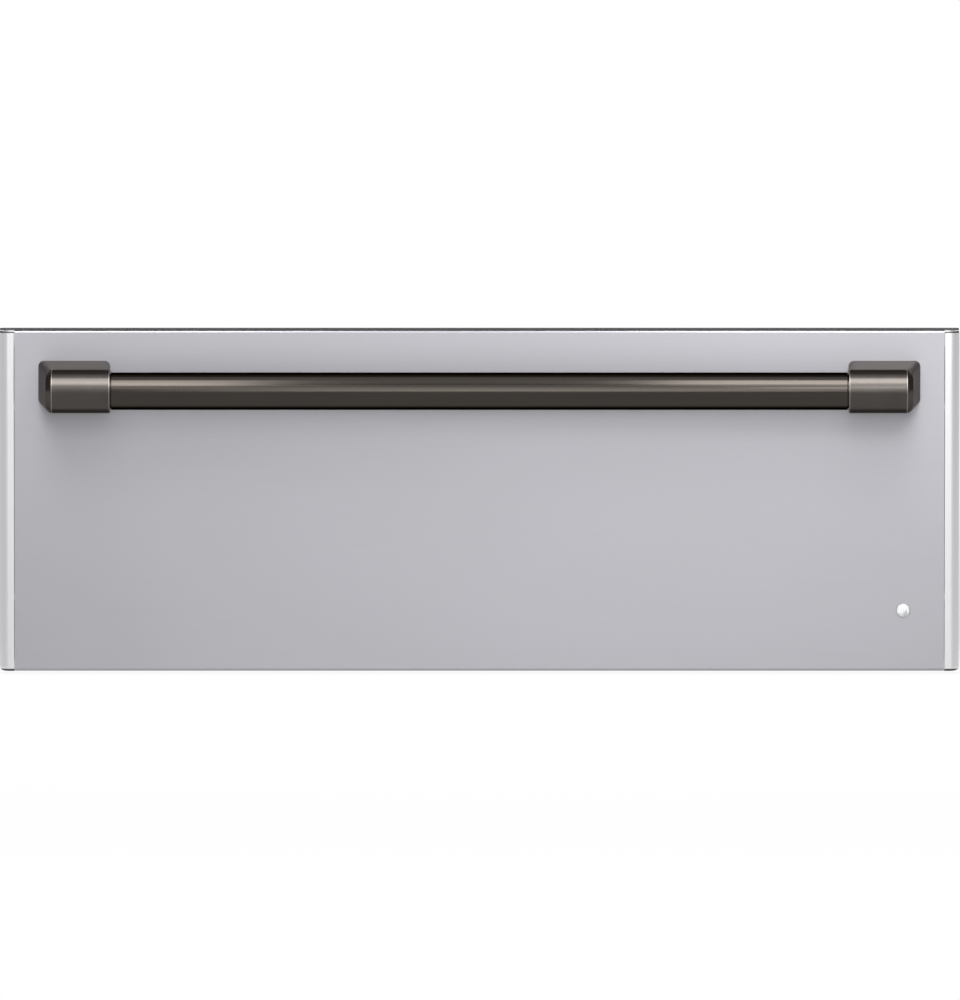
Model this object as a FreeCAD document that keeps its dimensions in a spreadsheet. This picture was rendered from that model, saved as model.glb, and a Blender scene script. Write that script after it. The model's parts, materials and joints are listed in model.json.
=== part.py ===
import FreeCAD, Part
import os
import re
import Sketcher

# A 30 inch class warming drawer: an insulated steel case with a heated cavity, and a
# drawer on telescopic ball slides whose stainless front carries a bar handle.
# Millimetres. X runs to the right, the front faces -Y, Z is up. The origin is the
# middle of the outline at the level that the skid rails rest on.

document = FreeCAD.newDocument("warming_drawer")

# ---------------------------------------------------------------- driving sizes
SIZES = [
    # drawer front
    ("front_width", 755.65, "overall width of the drawer front"),
    ("front_height", 269.875, "overall height of the drawer front"),
    ("front_bottom", 3.0, "front's lower edge above the resting plane"),
    ("front_depth", 20.0, "skin face to the back of the inner sheet"),
    ("front_gap", 5.0, "inner sheet to the front frame of the case"),
    ("skin_sheet", 1.0, "stainless sheet of the front"),
    ("skin_bend", 2.0, "outside bend radius of the front"),
    ("trim_width", 11.8, "width of a side trim"),
    ("trim_wall", 2.0, "wall of a side trim"),
    ("trim_round", 6.5, "rounded outer corner of a side trim"),
    ("trim_seam", 0.2, "seam between the skin and a side trim"),
    ("cap_rise", 1.3, "top cap above the skin"),
    ("cap_depth", 13.0, "top cap front to back"),
    ("cap_inset", 0.5, "top cap inside the outline of the front"),
    ("cap_round", 3.0, "rounded ends of the top cap"),
    ("cap_edge", 0.4, "eased top edge of the cap"),
    ("inner_sheet", 1.0, "inner sheet of the drawer front"),
    ("inner_gap", 0.2, "inner sheet inside the skin's returns"),
    # handle
    ("bar_diameter", 29.5, "handle bar"),
    ("bar_spigot", 30.0, "bar inside each collar"),
    ("handle_reach", 50.0, "bar axis in front of the skin"),
    ("handle_drop", 45.5, "bar axis below the top of the skin"),
    ("collar_diameter", 34.6, "collar round the end of the bar"),
    ("handle_margin", 38.125, "end of a collar short of the front's end"),
    ("collar_length", 50.2, "collar length"),
    ("collar_bevel", 5.0, "bevel on the outer end of a collar"),
    ("collar_ease", 0.8, "eased inner end of a collar"),
    ("post_splay", 7.2, "post base wider than the collar's end"),
    ("post_lift", 4.1, "post base above the bar axis"),
    ("post_inset", 0.8, "post inside the inner end of its collar"),
    ("post_round", 5.0, "rounded corners of a post"),
    ("handle_screw", 6.0, "handle screw diameter"),
    ("handle_screw_pitch", 24.0, "between the two screws of a post"),
    ("handle_screw_bite", 14.0, "handle screw inside its post"),
    ("handle_screw_head", 10.0, "handle screw head diameter"),
    ("handle_screw_rise", 4.0, "handle screw head height"),
    ("handle_screw_room", 1.0, "room round a handle screw's head"),
    ("screw_clearance", 0.25, "radial clearance of a screw hole"),
    ("backer_sheet", 3.0, "reinforcing plate behind the skin"),
    ("backer_margin", 8.0, "reinforcing plate past the post"),
    # pilot light
    ("pilot_offset", 8.7, "pilot light outside the cavity's side"),
    ("pilot_height", 47.9, "pilot light above the front's lower edge"),
    ("bezel_diameter", 11.8, "pilot bezel"),
    ("bezel_proud", 0.6, "pilot bezel in front of the skin"),
    ("bezel_sleeve", 10.8, "pilot bezel sleeve diameter"),
    ("bezel_depth", 6.0, "pilot bezel sleeve behind the skin face"),
    ("lens_diameter", 9.7, "pilot lens"),
    ("lens_dome", 1.5, "crown of the lens in front of the skin"),
    ("lens_depth", 5.0, "lens behind the skin face"),
    ("pipe_diameter", 6.0, "light pipe"),
    ("lamp_diameter", 5.0, "pilot lamp"),
    ("lamp_holder", 9.0, "pilot lamp holder"),
    ("lamp_depth", 9.0, "lamp holder behind the frame"),
    ("lamp_flange", 1.5, "lamp holder flange"),
    ("fit_gap", 0.1, "gap round a piece that is pushed into a hole"),
    # case
    ("skid_height", 8.0, "skid rail height"),
    ("skid_width", 30.0, "skid rail width"),
    ("skid_inset", 45.0, "skid rail inside the case side"),
    ("skid_setback", 30.0, "skid rail short of the case ends"),
    ("case_sheet", 0.8, "case sheet"),
    ("case_flange", 14.0, "flanges of the case"),
    ("case_lip", 1.0, "room for a flange inside the case"),
    ("frame_lap", 6.825, "front past each side of the front frame"),
    ("frame_lift", 7.0, "front past the lower edge of the front frame"),
    ("frame_drop", 14.875, "front past the upper edge of the front frame"),
    ("frame_flange", 12.25, "front frame past each side of the case"),
    ("frame_crest", 21.4, "front frame above the case"),
    ("frame_sheet", 1.5, "front frame sheet"),
    ("mount_hole", 5.2, "mounting hole in the front frame"),
    ("mount_inset", 5.0, "mounting holes inside the frame's sides"),
    ("mount_rise", 50.0, "lower mounting holes above the frame's lower edge"),
    ("mount_pitch", 150.0, "between lower and upper mounting holes"),
    ("side_space", 33.75, "case side to cavity side"),
    ("floor_space", 14.0, "case floor to cavity floor"),
    ("rear_space", 38.0, "cavity back to case back"),
    ("mouth_gap", 10.5, "cavity's mouth below the control fascia"),
    ("gasket_side", 17.0, "gasket from the cavity side"),
    ("gasket_edge", 2.0, "gasket from the cavity top and floor"),
    ("gasket_width", 7.0, "gasket width"),
    ("gasket_round", 5.0, "gasket corner"),
    ("rest_gap", 0.3, "gasket and bumpers to the closed front"),
    ("bumper_diameter", 10.0, "rubber bumper"),
    ("bumper_gap", 2.0, "bumpers outside the gasket"),
    ("bumper_rise", 22.0, "lower bumpers above the frame's lower edge"),
    ("bumper_drop", 12.0, "upper bumpers below the frame's upper edge"),
    # controls behind the top of the drawer front
    ("fascia_width", 280.0, "control fascia width"),
    ("fascia_height", 26.0, "control fascia height"),
    ("fascia_drop", 15.1, "middle of the control fascia below the case top"),
    ("fascia_proud", 2.6, "control fascia in front of the frame"),
    ("fascia_wall", 1.6, "control fascia wall"),
    ("fascia_lip", 3.0, "control fascia round its window"),
    ("button_width", 18.0, "button cap width"),
    ("button_height", 8.0, "button cap height"),
    ("button_pitch", 36.0, "between buttons"),
    ("button_round", 1.5, "button corners"),
    ("button_proud", 1.2, "button in front of the fascia"),
    ("button_gap", 0.2, "gap round a button"),
    ("button_flange", 1.0, "button retaining flange"),
    ("button_body", 6.0, "button behind the fascia wall"),
    ("button_travel", 1.0, "button stroke"),
    ("button_drop", 3.0, "buttons below the middle of the fascia"),
    ("switch_size", 6.0, "tact switch"),
    ("switch_depth", 4.0, "tact switch front to back"),
    ("light_diameter", 2.4, "level light"),
    ("light_rise", 7.0, "level lights above the middle of the fascia"),
    ("board_sheet", 1.6, "circuit board"),
    ("board_width", 240.0, "circuit board width"),
    ("board_height", 26.0, "circuit board height"),
    ("board_post", 5.0, "fascia posts that carry the board"),
    ("bay_depth", 70.0, "control bay behind the frame"),
    ("bay_width", 300.0, "control bay width"),
    # ball slides
    ("slide_height", 45.7, "outer member height"),
    ("slide_width", 12.7, "slide width, cavity side to carriage"),
    ("slide_length", 500.0, "slide length"),
    ("slide_setback", 6.0, "slide behind the frame face"),
    ("slide_gap", 27.5, "slide short of the cavity back"),
    ("slide_sheet", 1.2, "slide sheet"),
    ("ball_diameter", 4.0, "slide ball"),
    ("ball_play", 0.06, "radial play of a ball"),
    ("ball_pitch", 26.0, "between balls"),
    ("ball_rows", 7, "balls in a row"),
    ("cage_sheet", 0.6, "ball cage sheet"),
    ("cage_play", 0.15, "cage hole round a ball"),
    ("cage_end", 9.0, "cage past its last ball"),
    ("member_gap", 1.4, "gap between member webs"),
    ("member_tip", 2.0, "flange tips short of the slide's width"),
    # carriage and pan
    ("rail_sheet", 1.2, "carriage sheet"),
    ("rail_skirt", 24.0, "carriage rail below the slide axis"),
    ("rail_drop", 12.0, "carriage rail below the cavity top"),
    ("rail_short", 1.0, "carriage rail short of the slide's rear end"),
    ("rail_flange", 18.0, "carriage rail flange under the pan's rim"),
    ("rail_tab", 26.0, "carriage rail tab on the drawer front"),
    ("tab_inset", 12.0, "carriage tab short of the rail's edges"),
    ("cross_height", 40.0, "rear cross rail height"),
    ("pan_gap", 0.3, "gap between the pan and the rail flanges"),
    ("pan_depth", 108.0, "pan depth"),
    ("pan_sheet", 0.9, "pan sheet"),
    ("pan_rim", 14.0, "pan rim width"),
    ("pan_corner", 30.0, "pan corner radius"),
    ("pan_foot", 12.0, "pan floor radius"),
    ("pan_setback", 20.0, "pan rim behind the drawer front"),
    ("rack_wire", 5.0, "rack frame wire"),
    ("rack_rod", 3.0, "rack cross wire"),
    ("rack_weld", 0.4, "rack cross wire sunk into the frame wire"),
    ("rack_width", 250.0, "rack width"),
    ("rack_length", 400.0, "rack length"),
    ("rack_pitch", 18.0, "between rack cross wires"),
    ("rack_height", 26.0, "rack frame above the pan floor"),
    ("rack_gap", 24.0, "rack from the pan side"),
    ("rack_corner", 20.0, "rack frame corner radius"),
    # humidity vent
    ("vent_width", 190.0, "vent cover width"),
    ("vent_height", 34.0, "vent cover height"),
    ("vent_rise", 125.0, "vent above the front's lower edge"),
    ("vent_sheet", 0.8, "vent cover sheet"),
    ("vent_stand", 2.0, "vent cover behind the inner sheet"),
    ("vent_count", 6, "vent slots"),
    ("vent_pitch", 26.0, "between vent slots"),
    ("vent_slot", 12.0, "vent slot width"),
    ("vent_slot_height", 14.0, "vent slot height"),
    ("shutter_sheet", 1.0, "humidity shutter sheet"),
    ("shutter_travel", 13.0, "humidity shutter travel"),
    ("shutter_gap", 0.3, "gap round the shutter"),
    ("shutter_knob", 7.0, "shutter knob width"),
    ("shutter_knob_height", 3.5, "shutter knob height"),
    ("shutter_knob_rise", 3.0, "shutter knob behind the cover"),
    # heater
    ("reflector_gap", 25.0, "reflector inside the cavity's sides"),
    ("reflector_rear", 38.5, "reflector before the cavity back"),
    ("reflector_height", 4.0, "reflector height"),
    ("reflector_sheet", 0.6, "reflector sheet"),
    ("reflector_setback", 25.0, "reflector behind the frame"),
    ("element_diameter", 6.5, "heating element"),
    ("element_rise", 22.0, "heating element above the cavity floor"),
    ("element_pitch", 110.0, "between element legs"),
    ("element_front", 130.0, "front bends' centres behind the frame"),
    ("element_rear", 113.5, "rear bend's centre before the cavity back"),
    ("element_tail", 14.0, "element past the cavity back"),
    ("clip_width", 10.0, "element clip width"),
    ("clip_length", 14.0, "element clip length"),
    ("probe_diameter", 6.0, "temperature probe"),
    ("probe_length", 80.0, "temperature probe length"),
    ("probe_rise", 40.0, "temperature probe above the cavity floor"),
    ("probe_side", 90.0, "temperature probe from the middle"),
    ("probe_flange", 16.0, "temperature probe flange"),
    ("probe_flange_sheet", 1.8, "temperature probe flange thickness"),
    ("cutout_diameter", 19.0, "thermal cutout"),
    ("cutout_depth", 9.0, "thermal cutout behind the liner"),
    ("cutout_rise", 128.0, "thermal cutout above the cavity floor"),
    # rear services
    ("service_width", 150.0, "service bay width"),
    ("service_height", 90.0, "service bay height"),
    ("service_inset", 128.75, "middle of the service bay inside the case side"),
    ("service_rise", 72.0, "service bay floor above the case floor"),
    ("terminal_width", 60.0, "terminal block width"),
    ("terminal_height", 22.0, "terminal block height"),
    ("terminal_depth", 18.0, "terminal block depth"),
    ("terminal_rise", 3.0, "terminal block above the service bay floor"),
    ("terminal_bite", 6.0, "terminal screw recess depth"),
    ("gland_diameter", 22.0, "cord gland flange"),
    ("gland_sleeve", 16.0, "cord gland sleeve"),
    ("gland_bore", 9.0, "cord gland bore"),
    ("gland_flange", 3.5, "cord gland flange thickness"),
    ("gland_reach", 7.0, "cord gland behind the case"),
    ("gland_inside", 9.0, "cord gland inside the case"),
    ("gland_rise", 62.0, "cord gland above the service bay floor"),
    ("louvre_width", 60.0, "rear louvre width"),
    ("louvre_height", 4.0, "rear louvre height"),
    ("louvre_step", 75.0, "a rear louvre beside the one below it"),
    ("louvre_pitch", 6.0, "a rear louvre above the one below it"),
    ("louvre_count", 4, "rear louvres"),
    ("louvre_side", 160.0, "rear louvres from the middle"),
    ("louvre_drop", 40.6, "lowest rear louvre below the case top"),
    # small screws
    ("screw_diameter", 4.0, "case and carriage screw"),
    ("screw_head", 7.6, "screw head diameter"),
    ("screw_head_rise", 1.8, "screw head height"),
    ("screw_length", 6.0, "screw under its head"),
    ("lid_screw_inset", 30.0, "end lid screws from the lid's ends"),
    ("back_screw_inset", 40.0, "back screws from the case top and floor"),
    ("slide_screw_inset", 60.0, "end slide screws from the slide's ends"),
    ("tab_screw_inset", 13.0, "carriage tab screws from the tab's ends"),
]

sheet = document.addObject("Spreadsheet::Sheet", "Sizes")
for row, (alias, amount, note) in enumerate(SIZES, start=1):
    sheet.set(f"A{row}", str(amount))
    sheet.set(f"B{row}", note)
    sheet.setAlias(f"A{row}", alias)
document.recompute()

ALIASES = {alias for alias, amount, note in SIZES}
WORD = re.compile(r"[A-Za-z_]\w*")


def bound(expression):
    """The expression with each size's name pointed at its cell."""
    return WORD.sub(lambda match: f"Sizes.{match[0]}" if match[0] in ALIASES else match[0], str(expression))


def number(expression):
    """The expression's value in millimetres."""
    return float(sheet.evalExpression(bound(expression)))


# ---------------------------------------------------------------- places worked out from the sizes
case_depth = "(slide_setback + slide_length + slide_gap + rear_space)"
bar_front = "(handle_reach + collar_diameter / 2)"
overall_depth = f"({bar_front} + front_depth + front_gap + {case_depth} + gland_reach)"
face = f"({bar_front} - {overall_depth} / 2)"
inner = f"({face} + front_depth)"
frame = f"({inner} + front_gap)"
behind = f"({frame} + frame_sheet)"
rear = f"({frame} + {case_depth})"
skin_half = "(front_width / 2 - trim_width - trim_seam)"
skin_top = "(front_bottom + front_height - cap_rise)"
inner_half = f"({skin_half} - skin_sheet - inner_gap)"
inner_low = "(front_bottom + skin_sheet + inner_gap)"
inner_high = f"({skin_top} - skin_sheet - inner_gap)"
bar_level = f"({skin_top} - handle_drop)"
collar_outer = "(front_width / 2 - handle_margin)"
collar_inner = f"({collar_outer} - collar_length)"
post_middle = f"({collar_outer} - collar_length / 2)"
post_level = f"({bar_level} + post_lift)"
pilot_level = "(front_bottom + pilot_height)"
frame_half = "(front_width / 2 - frame_lap)"
frame_bottom = "(front_bottom + frame_lift)"
frame_top = "(front_bottom + front_height - frame_drop)"
mount_side = f"({frame_half} - mount_inset)"
mount_low = f"({frame_bottom} + mount_rise)"
case_half = f"({frame_half} - frame_flange)"
case_top = f"({frame_top} - frame_crest)"
lid_under = f"({case_top} - case_sheet)"
fascia_middle = f"({case_top} - fascia_drop)"
cavity_half = f"({case_half} - side_space)"
cavity_bottom = "(skid_height + floor_space)"
cavity_top = f"({fascia_middle} - fascia_height / 2 - mouth_gap)"
cavity_back = f"({rear} - rear_space)"
liner_back = f"({cavity_back} + case_sheet)"
pilot_side = f"({cavity_half} + pilot_offset)"
gasket_half = f"({cavity_half} + gasket_side)"
bumper_side = f"({gasket_half} + gasket_width + bumper_gap + bumper_diameter / 2)"
vent_level = "(front_bottom + vent_rise)"
slide_start = f"({frame} + slide_setback)"
slide_level = f"(({cavity_bottom} + {cavity_top}) / 2)"
element_level = f"({cavity_bottom} + element_rise)"
probe_level = f"({cavity_bottom} + probe_rise)"
cutout_level = f"({cavity_bottom} + cutout_rise)"
service_side = f"({case_half} - service_inset)"
service_level = "(skid_height + service_rise)"
louvre_level = f"({case_top} - louvre_drop)"
carriage_half = f"({cavity_half} - slide_width)"
rail_inside = f"({carriage_half} - rail_flange)"
rail_end = f"({slide_start} + slide_length - rail_short)"
rail_bottom = f"({slide_level} - rail_skirt)"
rail_top = f"({cavity_top} - rail_drop)"
pan_half = f"({rail_inside} - pan_gap)"
pan_front = f"({inner} + pan_setback + pan_rim)"
pan_rear = f"({rail_end} - rail_flange - pan_gap)"
pan_base = f"({rail_top} + pan_sheet - pan_depth)"
button_level = f"({fascia_middle} - button_drop)"
button_back = f"({frame} - fascia_proud + fascia_wall + button_body)"
switch_front = f"({button_back} + button_travel + button_gap)"
board_front = f"({switch_front} + switch_depth)"
screw_hole = "(screw_diameter / 2 + screw_clearance)"
SIDES = (("left", -1), ("right", 1))
BUTTONS = ("power", "low", "medium", "high", "timer")
TERMINALS = 3  # live, neutral and earth
SAME = 1e-6
X_AXIS = FreeCAD.Vector(1, 0, 0)
Y_AXIS = FreeCAD.Vector(0, 1, 0)
Z_AXIS = FreeCAD.Vector(0, 0, 1)
AXES = {"x": X_AXIS, "y": Y_AXIS, "z": Z_AXIS}
SEAM_TURN = FreeCAD.Rotation(Z_AXIS, 45)  # keeps a rod's seam away from what meets it squarely

nodes = {}


# ---------------------------------------------------------------- how pieces are made
def node(name, thing):
    """Registers the document object as one named sub-part."""
    thing.Label = name
    nodes[name] = thing
    return thing


def place(thing, x=0, y=0, z=0):
    for letter, expression in zip("xyz", (x, y, z)):
        thing.setExpression(f".Placement.Base.{letter}", bound(expression))
    return thing


def mirrored(span, sign):
    """A span of X on the right, or its mirror image on the left."""
    low, high = span
    return span if sign > 0 else (f"-({high})", f"-({low})")


def box(x, y, z):
    """A box between pairs of coordinates."""
    block = document.addObject("Part::Box", "box")
    for name, (low, high) in zip(("Length", "Width", "Height"), (x, y, z)):
        block.setExpression(name, bound(f"({high}) - ({low})"))
    return place(block, x[0], y[0], z[0])


def rod(radius, start, length, along="z"):
    """A cylinder from a start point along an axis."""
    cylinder = document.addObject("Part::Cylinder", "rod")
    turn = FreeCAD.Rotation(Z_AXIS, AXES[along]) * SEAM_TURN
    cylinder.Placement = FreeCAD.Placement(FreeCAD.Vector(), turn)
    cylinder.setExpression("Radius", bound(radius))
    cylinder.setExpression("Height", bound(length))
    return place(cylinder, *start)


def cone(first, second, start, length, direction):
    """A cone from the first radius at its start to the second at its end."""
    taper = document.addObject("Part::Cone", "cone")
    taper.Placement = FreeCAD.Placement(FreeCAD.Vector(), FreeCAD.Rotation(Z_AXIS, direction))
    taper.setExpression("Radius1", bound(first))
    taper.setExpression("Radius2", bound(second))
    taper.setExpression("Height", bound(length))
    return place(taper, *start)


def bend(radius, wire, centre, start_angle, sweep):
    """Part of a ring of wire about a vertical axis, from a start angle."""
    ring = document.addObject("Part::Torus", "bend")
    ring.Placement = FreeCAD.Placement(FreeCAD.Vector(), FreeCAD.Rotation(Z_AXIS, start_angle))
    ring.setExpression("Radius1", bound(radius))
    ring.setExpression("Radius2", bound(wire))
    ring.Angle3 = sweep
    return place(ring, *centre)


def fuse(*pieces):
    if len(pieces) == 1:
        return pieces[0]
    joined = document.addObject("Part::MultiFuse", "joined")
    joined.Shapes = list(pieces)
    joined.Refine = True
    return joined


def group(*pieces):
    """Separate solids that share one node."""
    together = document.addObject("Part::Compound", "group")
    together.Links = list(pieces)
    return together


def cut(base, *tools):
    result = document.addObject("Part::Cut", "cut")
    result.Base = base
    result.Tool = fuse(*tools)
    result.Refine = True
    return result


def lines_along(shape, axis, accept=lambda middle: True):
    """Numbers of the straight edges along an axis whose middle is accepted."""
    chosen = []
    for index, edge in enumerate(shape.Edges, start=1):
        run = edge.lastVertex().Point - edge.firstVertex().Point
        straight = edge.Curve.TypeId == "Part::GeomLine" and run.Length > SAME
        if straight and abs(abs(run.dot(axis)) - run.Length) < SAME and accept(edge.CenterOfMass):
            chosen.append(index)
    return chosen


def rounded(base, radius, axis, accept=lambda middle: True):
    """A Part fillet on the chosen straight edges."""
    document.recompute()
    fillet = document.addObject("Part::Fillet", "rounded")
    fillet.Base = base
    size = number(radius)
    fillet.Edges = [(index, size, size) for index in lines_along(base.Shape, axis, accept)]
    return fillet


# ---------------------------------------------------------------- how bodies are made
def blank(name):
    """A body that a later cut or joint turns into a sub-part."""
    return document.addObject("PartDesign::Body", f"{name}_blank")


def new_body(name):
    return node(name, document.addObject("PartDesign::Body", name))


def sketch_on(body, role, offset=0):
    """A sketch on one of the body's own origin planes, moved along the plane's normal."""
    sketch = body.newObject("Sketcher::SketchObject", "outline")
    plane = next(feature for feature in body.Origin.OriginFeatures if feature.Role == role)
    sketch.AttachmentSupport = [(plane, "")]
    sketch.MapMode = "FlatFace"
    sketch.setExpression(".AttachmentOffset.Base.z", bound(offset))
    return sketch


def pin(sketch, kind, geometry, point, expression):
    """One coordinate of a sketch point, bound to the sizes."""
    index = sketch.addConstraint(Sketcher.Constraint(kind, -1, 1, geometry, point, number(expression)))
    sketch.setExpression(f"Constraints[{index}]", bound(expression))


def outline(sketch, corners):
    """A closed outline of straight lines through the corners."""
    points = [FreeCAD.Vector(number(across), number(up), 0) for across, up in corners]
    first = sketch.GeometryCount
    total = len(points)
    for index, point in enumerate(points):
        sketch.addGeometry(Part.LineSegment(point, points[(index + 1) % total]))
    for index in range(total):
        following = first + (index + 1) % total
        sketch.addConstraint(Sketcher.Constraint("Coincident", first + index, 2, following, 1))
    for index, (across, up) in enumerate(corners, start=first):
        pin(sketch, "DistanceX", index, 1, across)
        pin(sketch, "DistanceY", index, 1, up)


def rectangle(sketch, across, up):
    outline(sketch, [(across[0], up[0]), (across[1], up[0]), (across[1], up[1]), (across[0], up[1])])


def circle(sketch, across, up, radius):
    centre = FreeCAD.Vector(number(across), number(up), 0)
    index = sketch.addGeometry(Part.Circle(centre, Z_AXIS, number(radius)))
    pin(sketch, "DistanceX", index, 3, across)
    pin(sketch, "DistanceY", index, 3, up)
    constraint = sketch.addConstraint(Sketcher.Constraint("Radius", index, number(radius)))
    sketch.setExpression(f"Constraints[{constraint}]", bound(radius))


def pad(body, sketch, length, backwards=False):
    feature = body.newObject("PartDesign::Pad", "pad")
    feature.Profile = sketch
    feature.Reversed = backwards
    feature.setExpression("Length", bound(length))
    document.recompute()
    return feature


def pocket(body, sketch, length, backwards=False):
    """A pocket that has to take material away."""
    before = body.Shape.Volume
    feature = body.newObject("PartDesign::Pocket", "pocket")
    feature.Profile = sketch
    feature.Reversed = backwards
    feature.setExpression("Length", bound(length))
    document.recompute()
    if body.Shape.Volume > before - SAME:
        raise ValueError(f"{body.Label}: a pocket cuts nothing")
    return feature


def fillet(body, base, radius, axis, accept=lambda middle: True):
    """A PartDesign fillet on the chosen straight edges of the base feature."""
    feature = body.newObject("PartDesign::Fillet", "fillet")
    feature.Base = (base, [f"Edge{index}" for index in lines_along(base.Shape, axis, accept)])
    feature.setExpression("Radius", bound(radius))
    document.recompute()
    return feature


def screw(start, along, turn, length="screw_length"):
    """A screw whose head sits on the start point, its shank running along the axis (turn 1 or -1)."""
    direction = AXES[along] * turn
    index = "xyz".index(along)
    back = list(start)
    back[index] = f"{start[index]} - ({turn}) * screw_head_rise"
    crown = "screw_head / 2 - screw_head_rise / 2"
    head = cone(crown, "screw_head / 2", back, "screw_head_rise", direction)
    shank = cone("screw_diameter / 2", "screw_diameter / 2 - fit_gap", start, length, direction)
    return fuse(head, shank)


def screw_path(start, along, turn, length="screw_length"):
    """The hole that a screw's shank passes through."""
    return cone(screw_hole, screw_hole, start, f"{length} + screw_clearance", AXES[along] * turn)


# ---------------------------------------------------------------- drawer front
def make_front_skin():
    """A stainless tray open at the back, with bent long edges."""
    body = new_body("front_skin")
    face_sketch = sketch_on(body, "XZ_Plane")
    rectangle(face_sketch, (f"-{skin_half}", skin_half), ("front_bottom", skin_top))
    block = pad(body, face_sketch, "front_depth", backwards=True)
    fillet(body, block, "skin_bend", X_AXIS, lambda middle: abs(middle.y) < SAME)
    hollow = sketch_on(body, "XZ_Plane", "-skin_sheet")
    rectangle(
        hollow,
        (f"-{skin_half} + skin_sheet", f"{skin_half} - skin_sheet"),
        ("front_bottom + skin_sheet", f"{skin_top} - skin_sheet"),
    )
    emptied = pocket(body, hollow, "front_depth")
    depth = number("skin_sheet")
    limit = number("front_bottom + skin_bend"), number(f"{skin_top} - skin_bend")
    fillet(
        body, emptied, "skin_bend - skin_sheet", X_AXIS,
        lambda middle: abs(middle.y - depth) < SAME and not limit[0] < middle.z < limit[1],
    )
    holes = sketch_on(body, "XZ_Plane")
    for side, sign in SIDES:
        for across in handle_screw_places(sign):
            circle(holes, across, post_level, "handle_screw / 2 + screw_clearance")
    circle(holes, pilot_side, pilot_level, "bezel_sleeve / 2 + fit_gap")
    pocket(body, holes, "skin_bend")
    place(body, y=face)


def make_side_trim(side, sign):
    """An angle with a rounded outer corner, beside the skin."""
    body = new_body(f"side_trim_{side}")
    section = sketch_on(body, "XY_Plane")
    outer = "front_width / 2"
    corners = [
        (f"{outer} - trim_width", 0),
        (outer, 0),
        (outer, "front_depth"),
        (f"{outer} - trim_wall", "front_depth"),
        (f"{outer} - trim_wall", "trim_wall"),
        (f"{outer} - trim_width", "trim_wall"),
    ]
    outline(section, [(f"({sign}) * ({across})", deep) for across, deep in corners])
    angle = pad(body, section, f"{skin_top} - front_bottom")
    edge, wall = number(outer), number("trim_wall")
    corner = fillet(
        body, angle, "trim_round", Z_AXIS,
        lambda middle: abs(abs(middle.x) - edge) < SAME and abs(middle.y) < SAME,
    )
    fillet(
        body, corner, "trim_round - trim_wall", Z_AXIS,
        lambda middle: abs(abs(middle.x) - edge + wall) < SAME and abs(middle.y - wall) < SAME,
    )
    place(body, y=face, z="front_bottom")


def make_top_cap():
    """A black moulded strip along the top of the front, with rounded ends."""
    body = new_body("top_cap")
    plan = sketch_on(body, "XY_Plane")
    half = "front_width / 2 - cap_inset"
    rectangle(plan, (f"-({half})", half), ("cap_inset", "cap_inset + cap_depth"))
    strip = pad(body, plan, "cap_rise")
    ends = fillet(body, strip, "cap_round", Z_AXIS)
    crest = number("cap_rise")
    fillet(body, ends, "cap_edge", X_AXIS, lambda middle: abs(middle.z - crest) < SAME)
    place(body, y=face, z=skin_top)


def post_span(sign, margin=0):
    """The X span of a post's base on one side."""
    low = f"{collar_inner} + post_inset - ({margin})"
    return mirrored((low, f"{collar_outer} + post_splay + ({margin})"), sign)


def backer_box(sign):
    height = "(collar_diameter / 2 + backer_margin)"
    return box(
        post_span(sign, "backer_margin"),
        (f"{face} + skin_sheet", f"{face} + skin_sheet + backer_sheet"),
        (f"{post_level} - {height}", f"{post_level} + {height}"),
    )


def handle_screw_places(sign):
    """X of the two screws of one post."""
    for turn in (-1, 1):
        yield f"({sign}) * {post_middle} + ({turn}) * handle_screw_pitch / 2"


def make_inner_sheet():
    """The flat sheet that closes the back of the front."""
    sheet_box = box(
        (f"-{inner_half}", inner_half),
        (f"{inner} - inner_sheet", inner),
        (inner_low, inner_high),
    )
    holes = [rod("pipe_diameter / 2 + fit_gap", (pilot_side, face, pilot_level), "front_depth", "y")]
    holes += vent_slots(f"{inner} - inner_sheet", inner)
    holes += [screw_path(start, "y", -1) for start in tab_screw_places()]
    node("inner_sheet", cut(sheet_box, *holes))


def make_front_insulation():
    """A fibre board that fills the front between the skin and the inner sheet."""
    board = box(
        (f"-{inner_half}", inner_half),
        (f"{face} + skin_sheet", f"{inner} - inner_sheet"),
        (inner_low, inner_high),
    )
    front = number(f"{face} + skin_sheet")
    board = rounded(board, "skin_bend - skin_sheet", X_AXIS, lambda middle: abs(middle.y - front) < SAME)
    start = f"{face} + skin_sheet + backer_sheet"
    rooms = [backer_box(sign) for side, sign in SIDES]
    for across in [across for side, sign in SIDES for across in handle_screw_places(sign)]:
        room = "handle_screw_head / 2 + handle_screw_room"
        deep = "handle_screw_rise + handle_screw_room / 2"
        rooms.append(rod(room, (across, start, post_level), deep, "y"))
    rooms.append(rod("pipe_diameter / 2 + fit_gap", (pilot_side, face, pilot_level), "front_depth", "y"))
    rooms.append(rod("bezel_sleeve / 2 + fit_gap", (pilot_side, face, pilot_level), "bezel_depth", "y"))
    rooms += [screw_path(screw_start, "y", -1) for screw_start in tab_screw_places()]
    rooms.append(
        box(
            ("-vent_width / 2", "vent_width / 2"),
            (f"{inner} - inner_sheet - vent_slot", f"{inner} - inner_sheet"),
            (f"{vent_level} - vent_height / 2", f"{vent_level} + vent_height / 2"),
        )
    )
    node("front_insulation", cut(board, *rooms))


def vent_slots(start, end, shift=0):
    """The row of vent slots between two depths."""
    count = int(number("vent_count"))
    slots = []
    for index in range(count):
        middle = f"({index} - {count - 1} / 2) * vent_pitch + ({shift})"
        slots.append(
            box(
                (f"{middle} - vent_slot / 2", f"{middle} + vent_slot / 2"),
                (start, end),
                (f"{vent_level} - vent_slot_height / 2", f"{vent_level} + vent_slot_height / 2"),
            )
        )
    return slots


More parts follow.
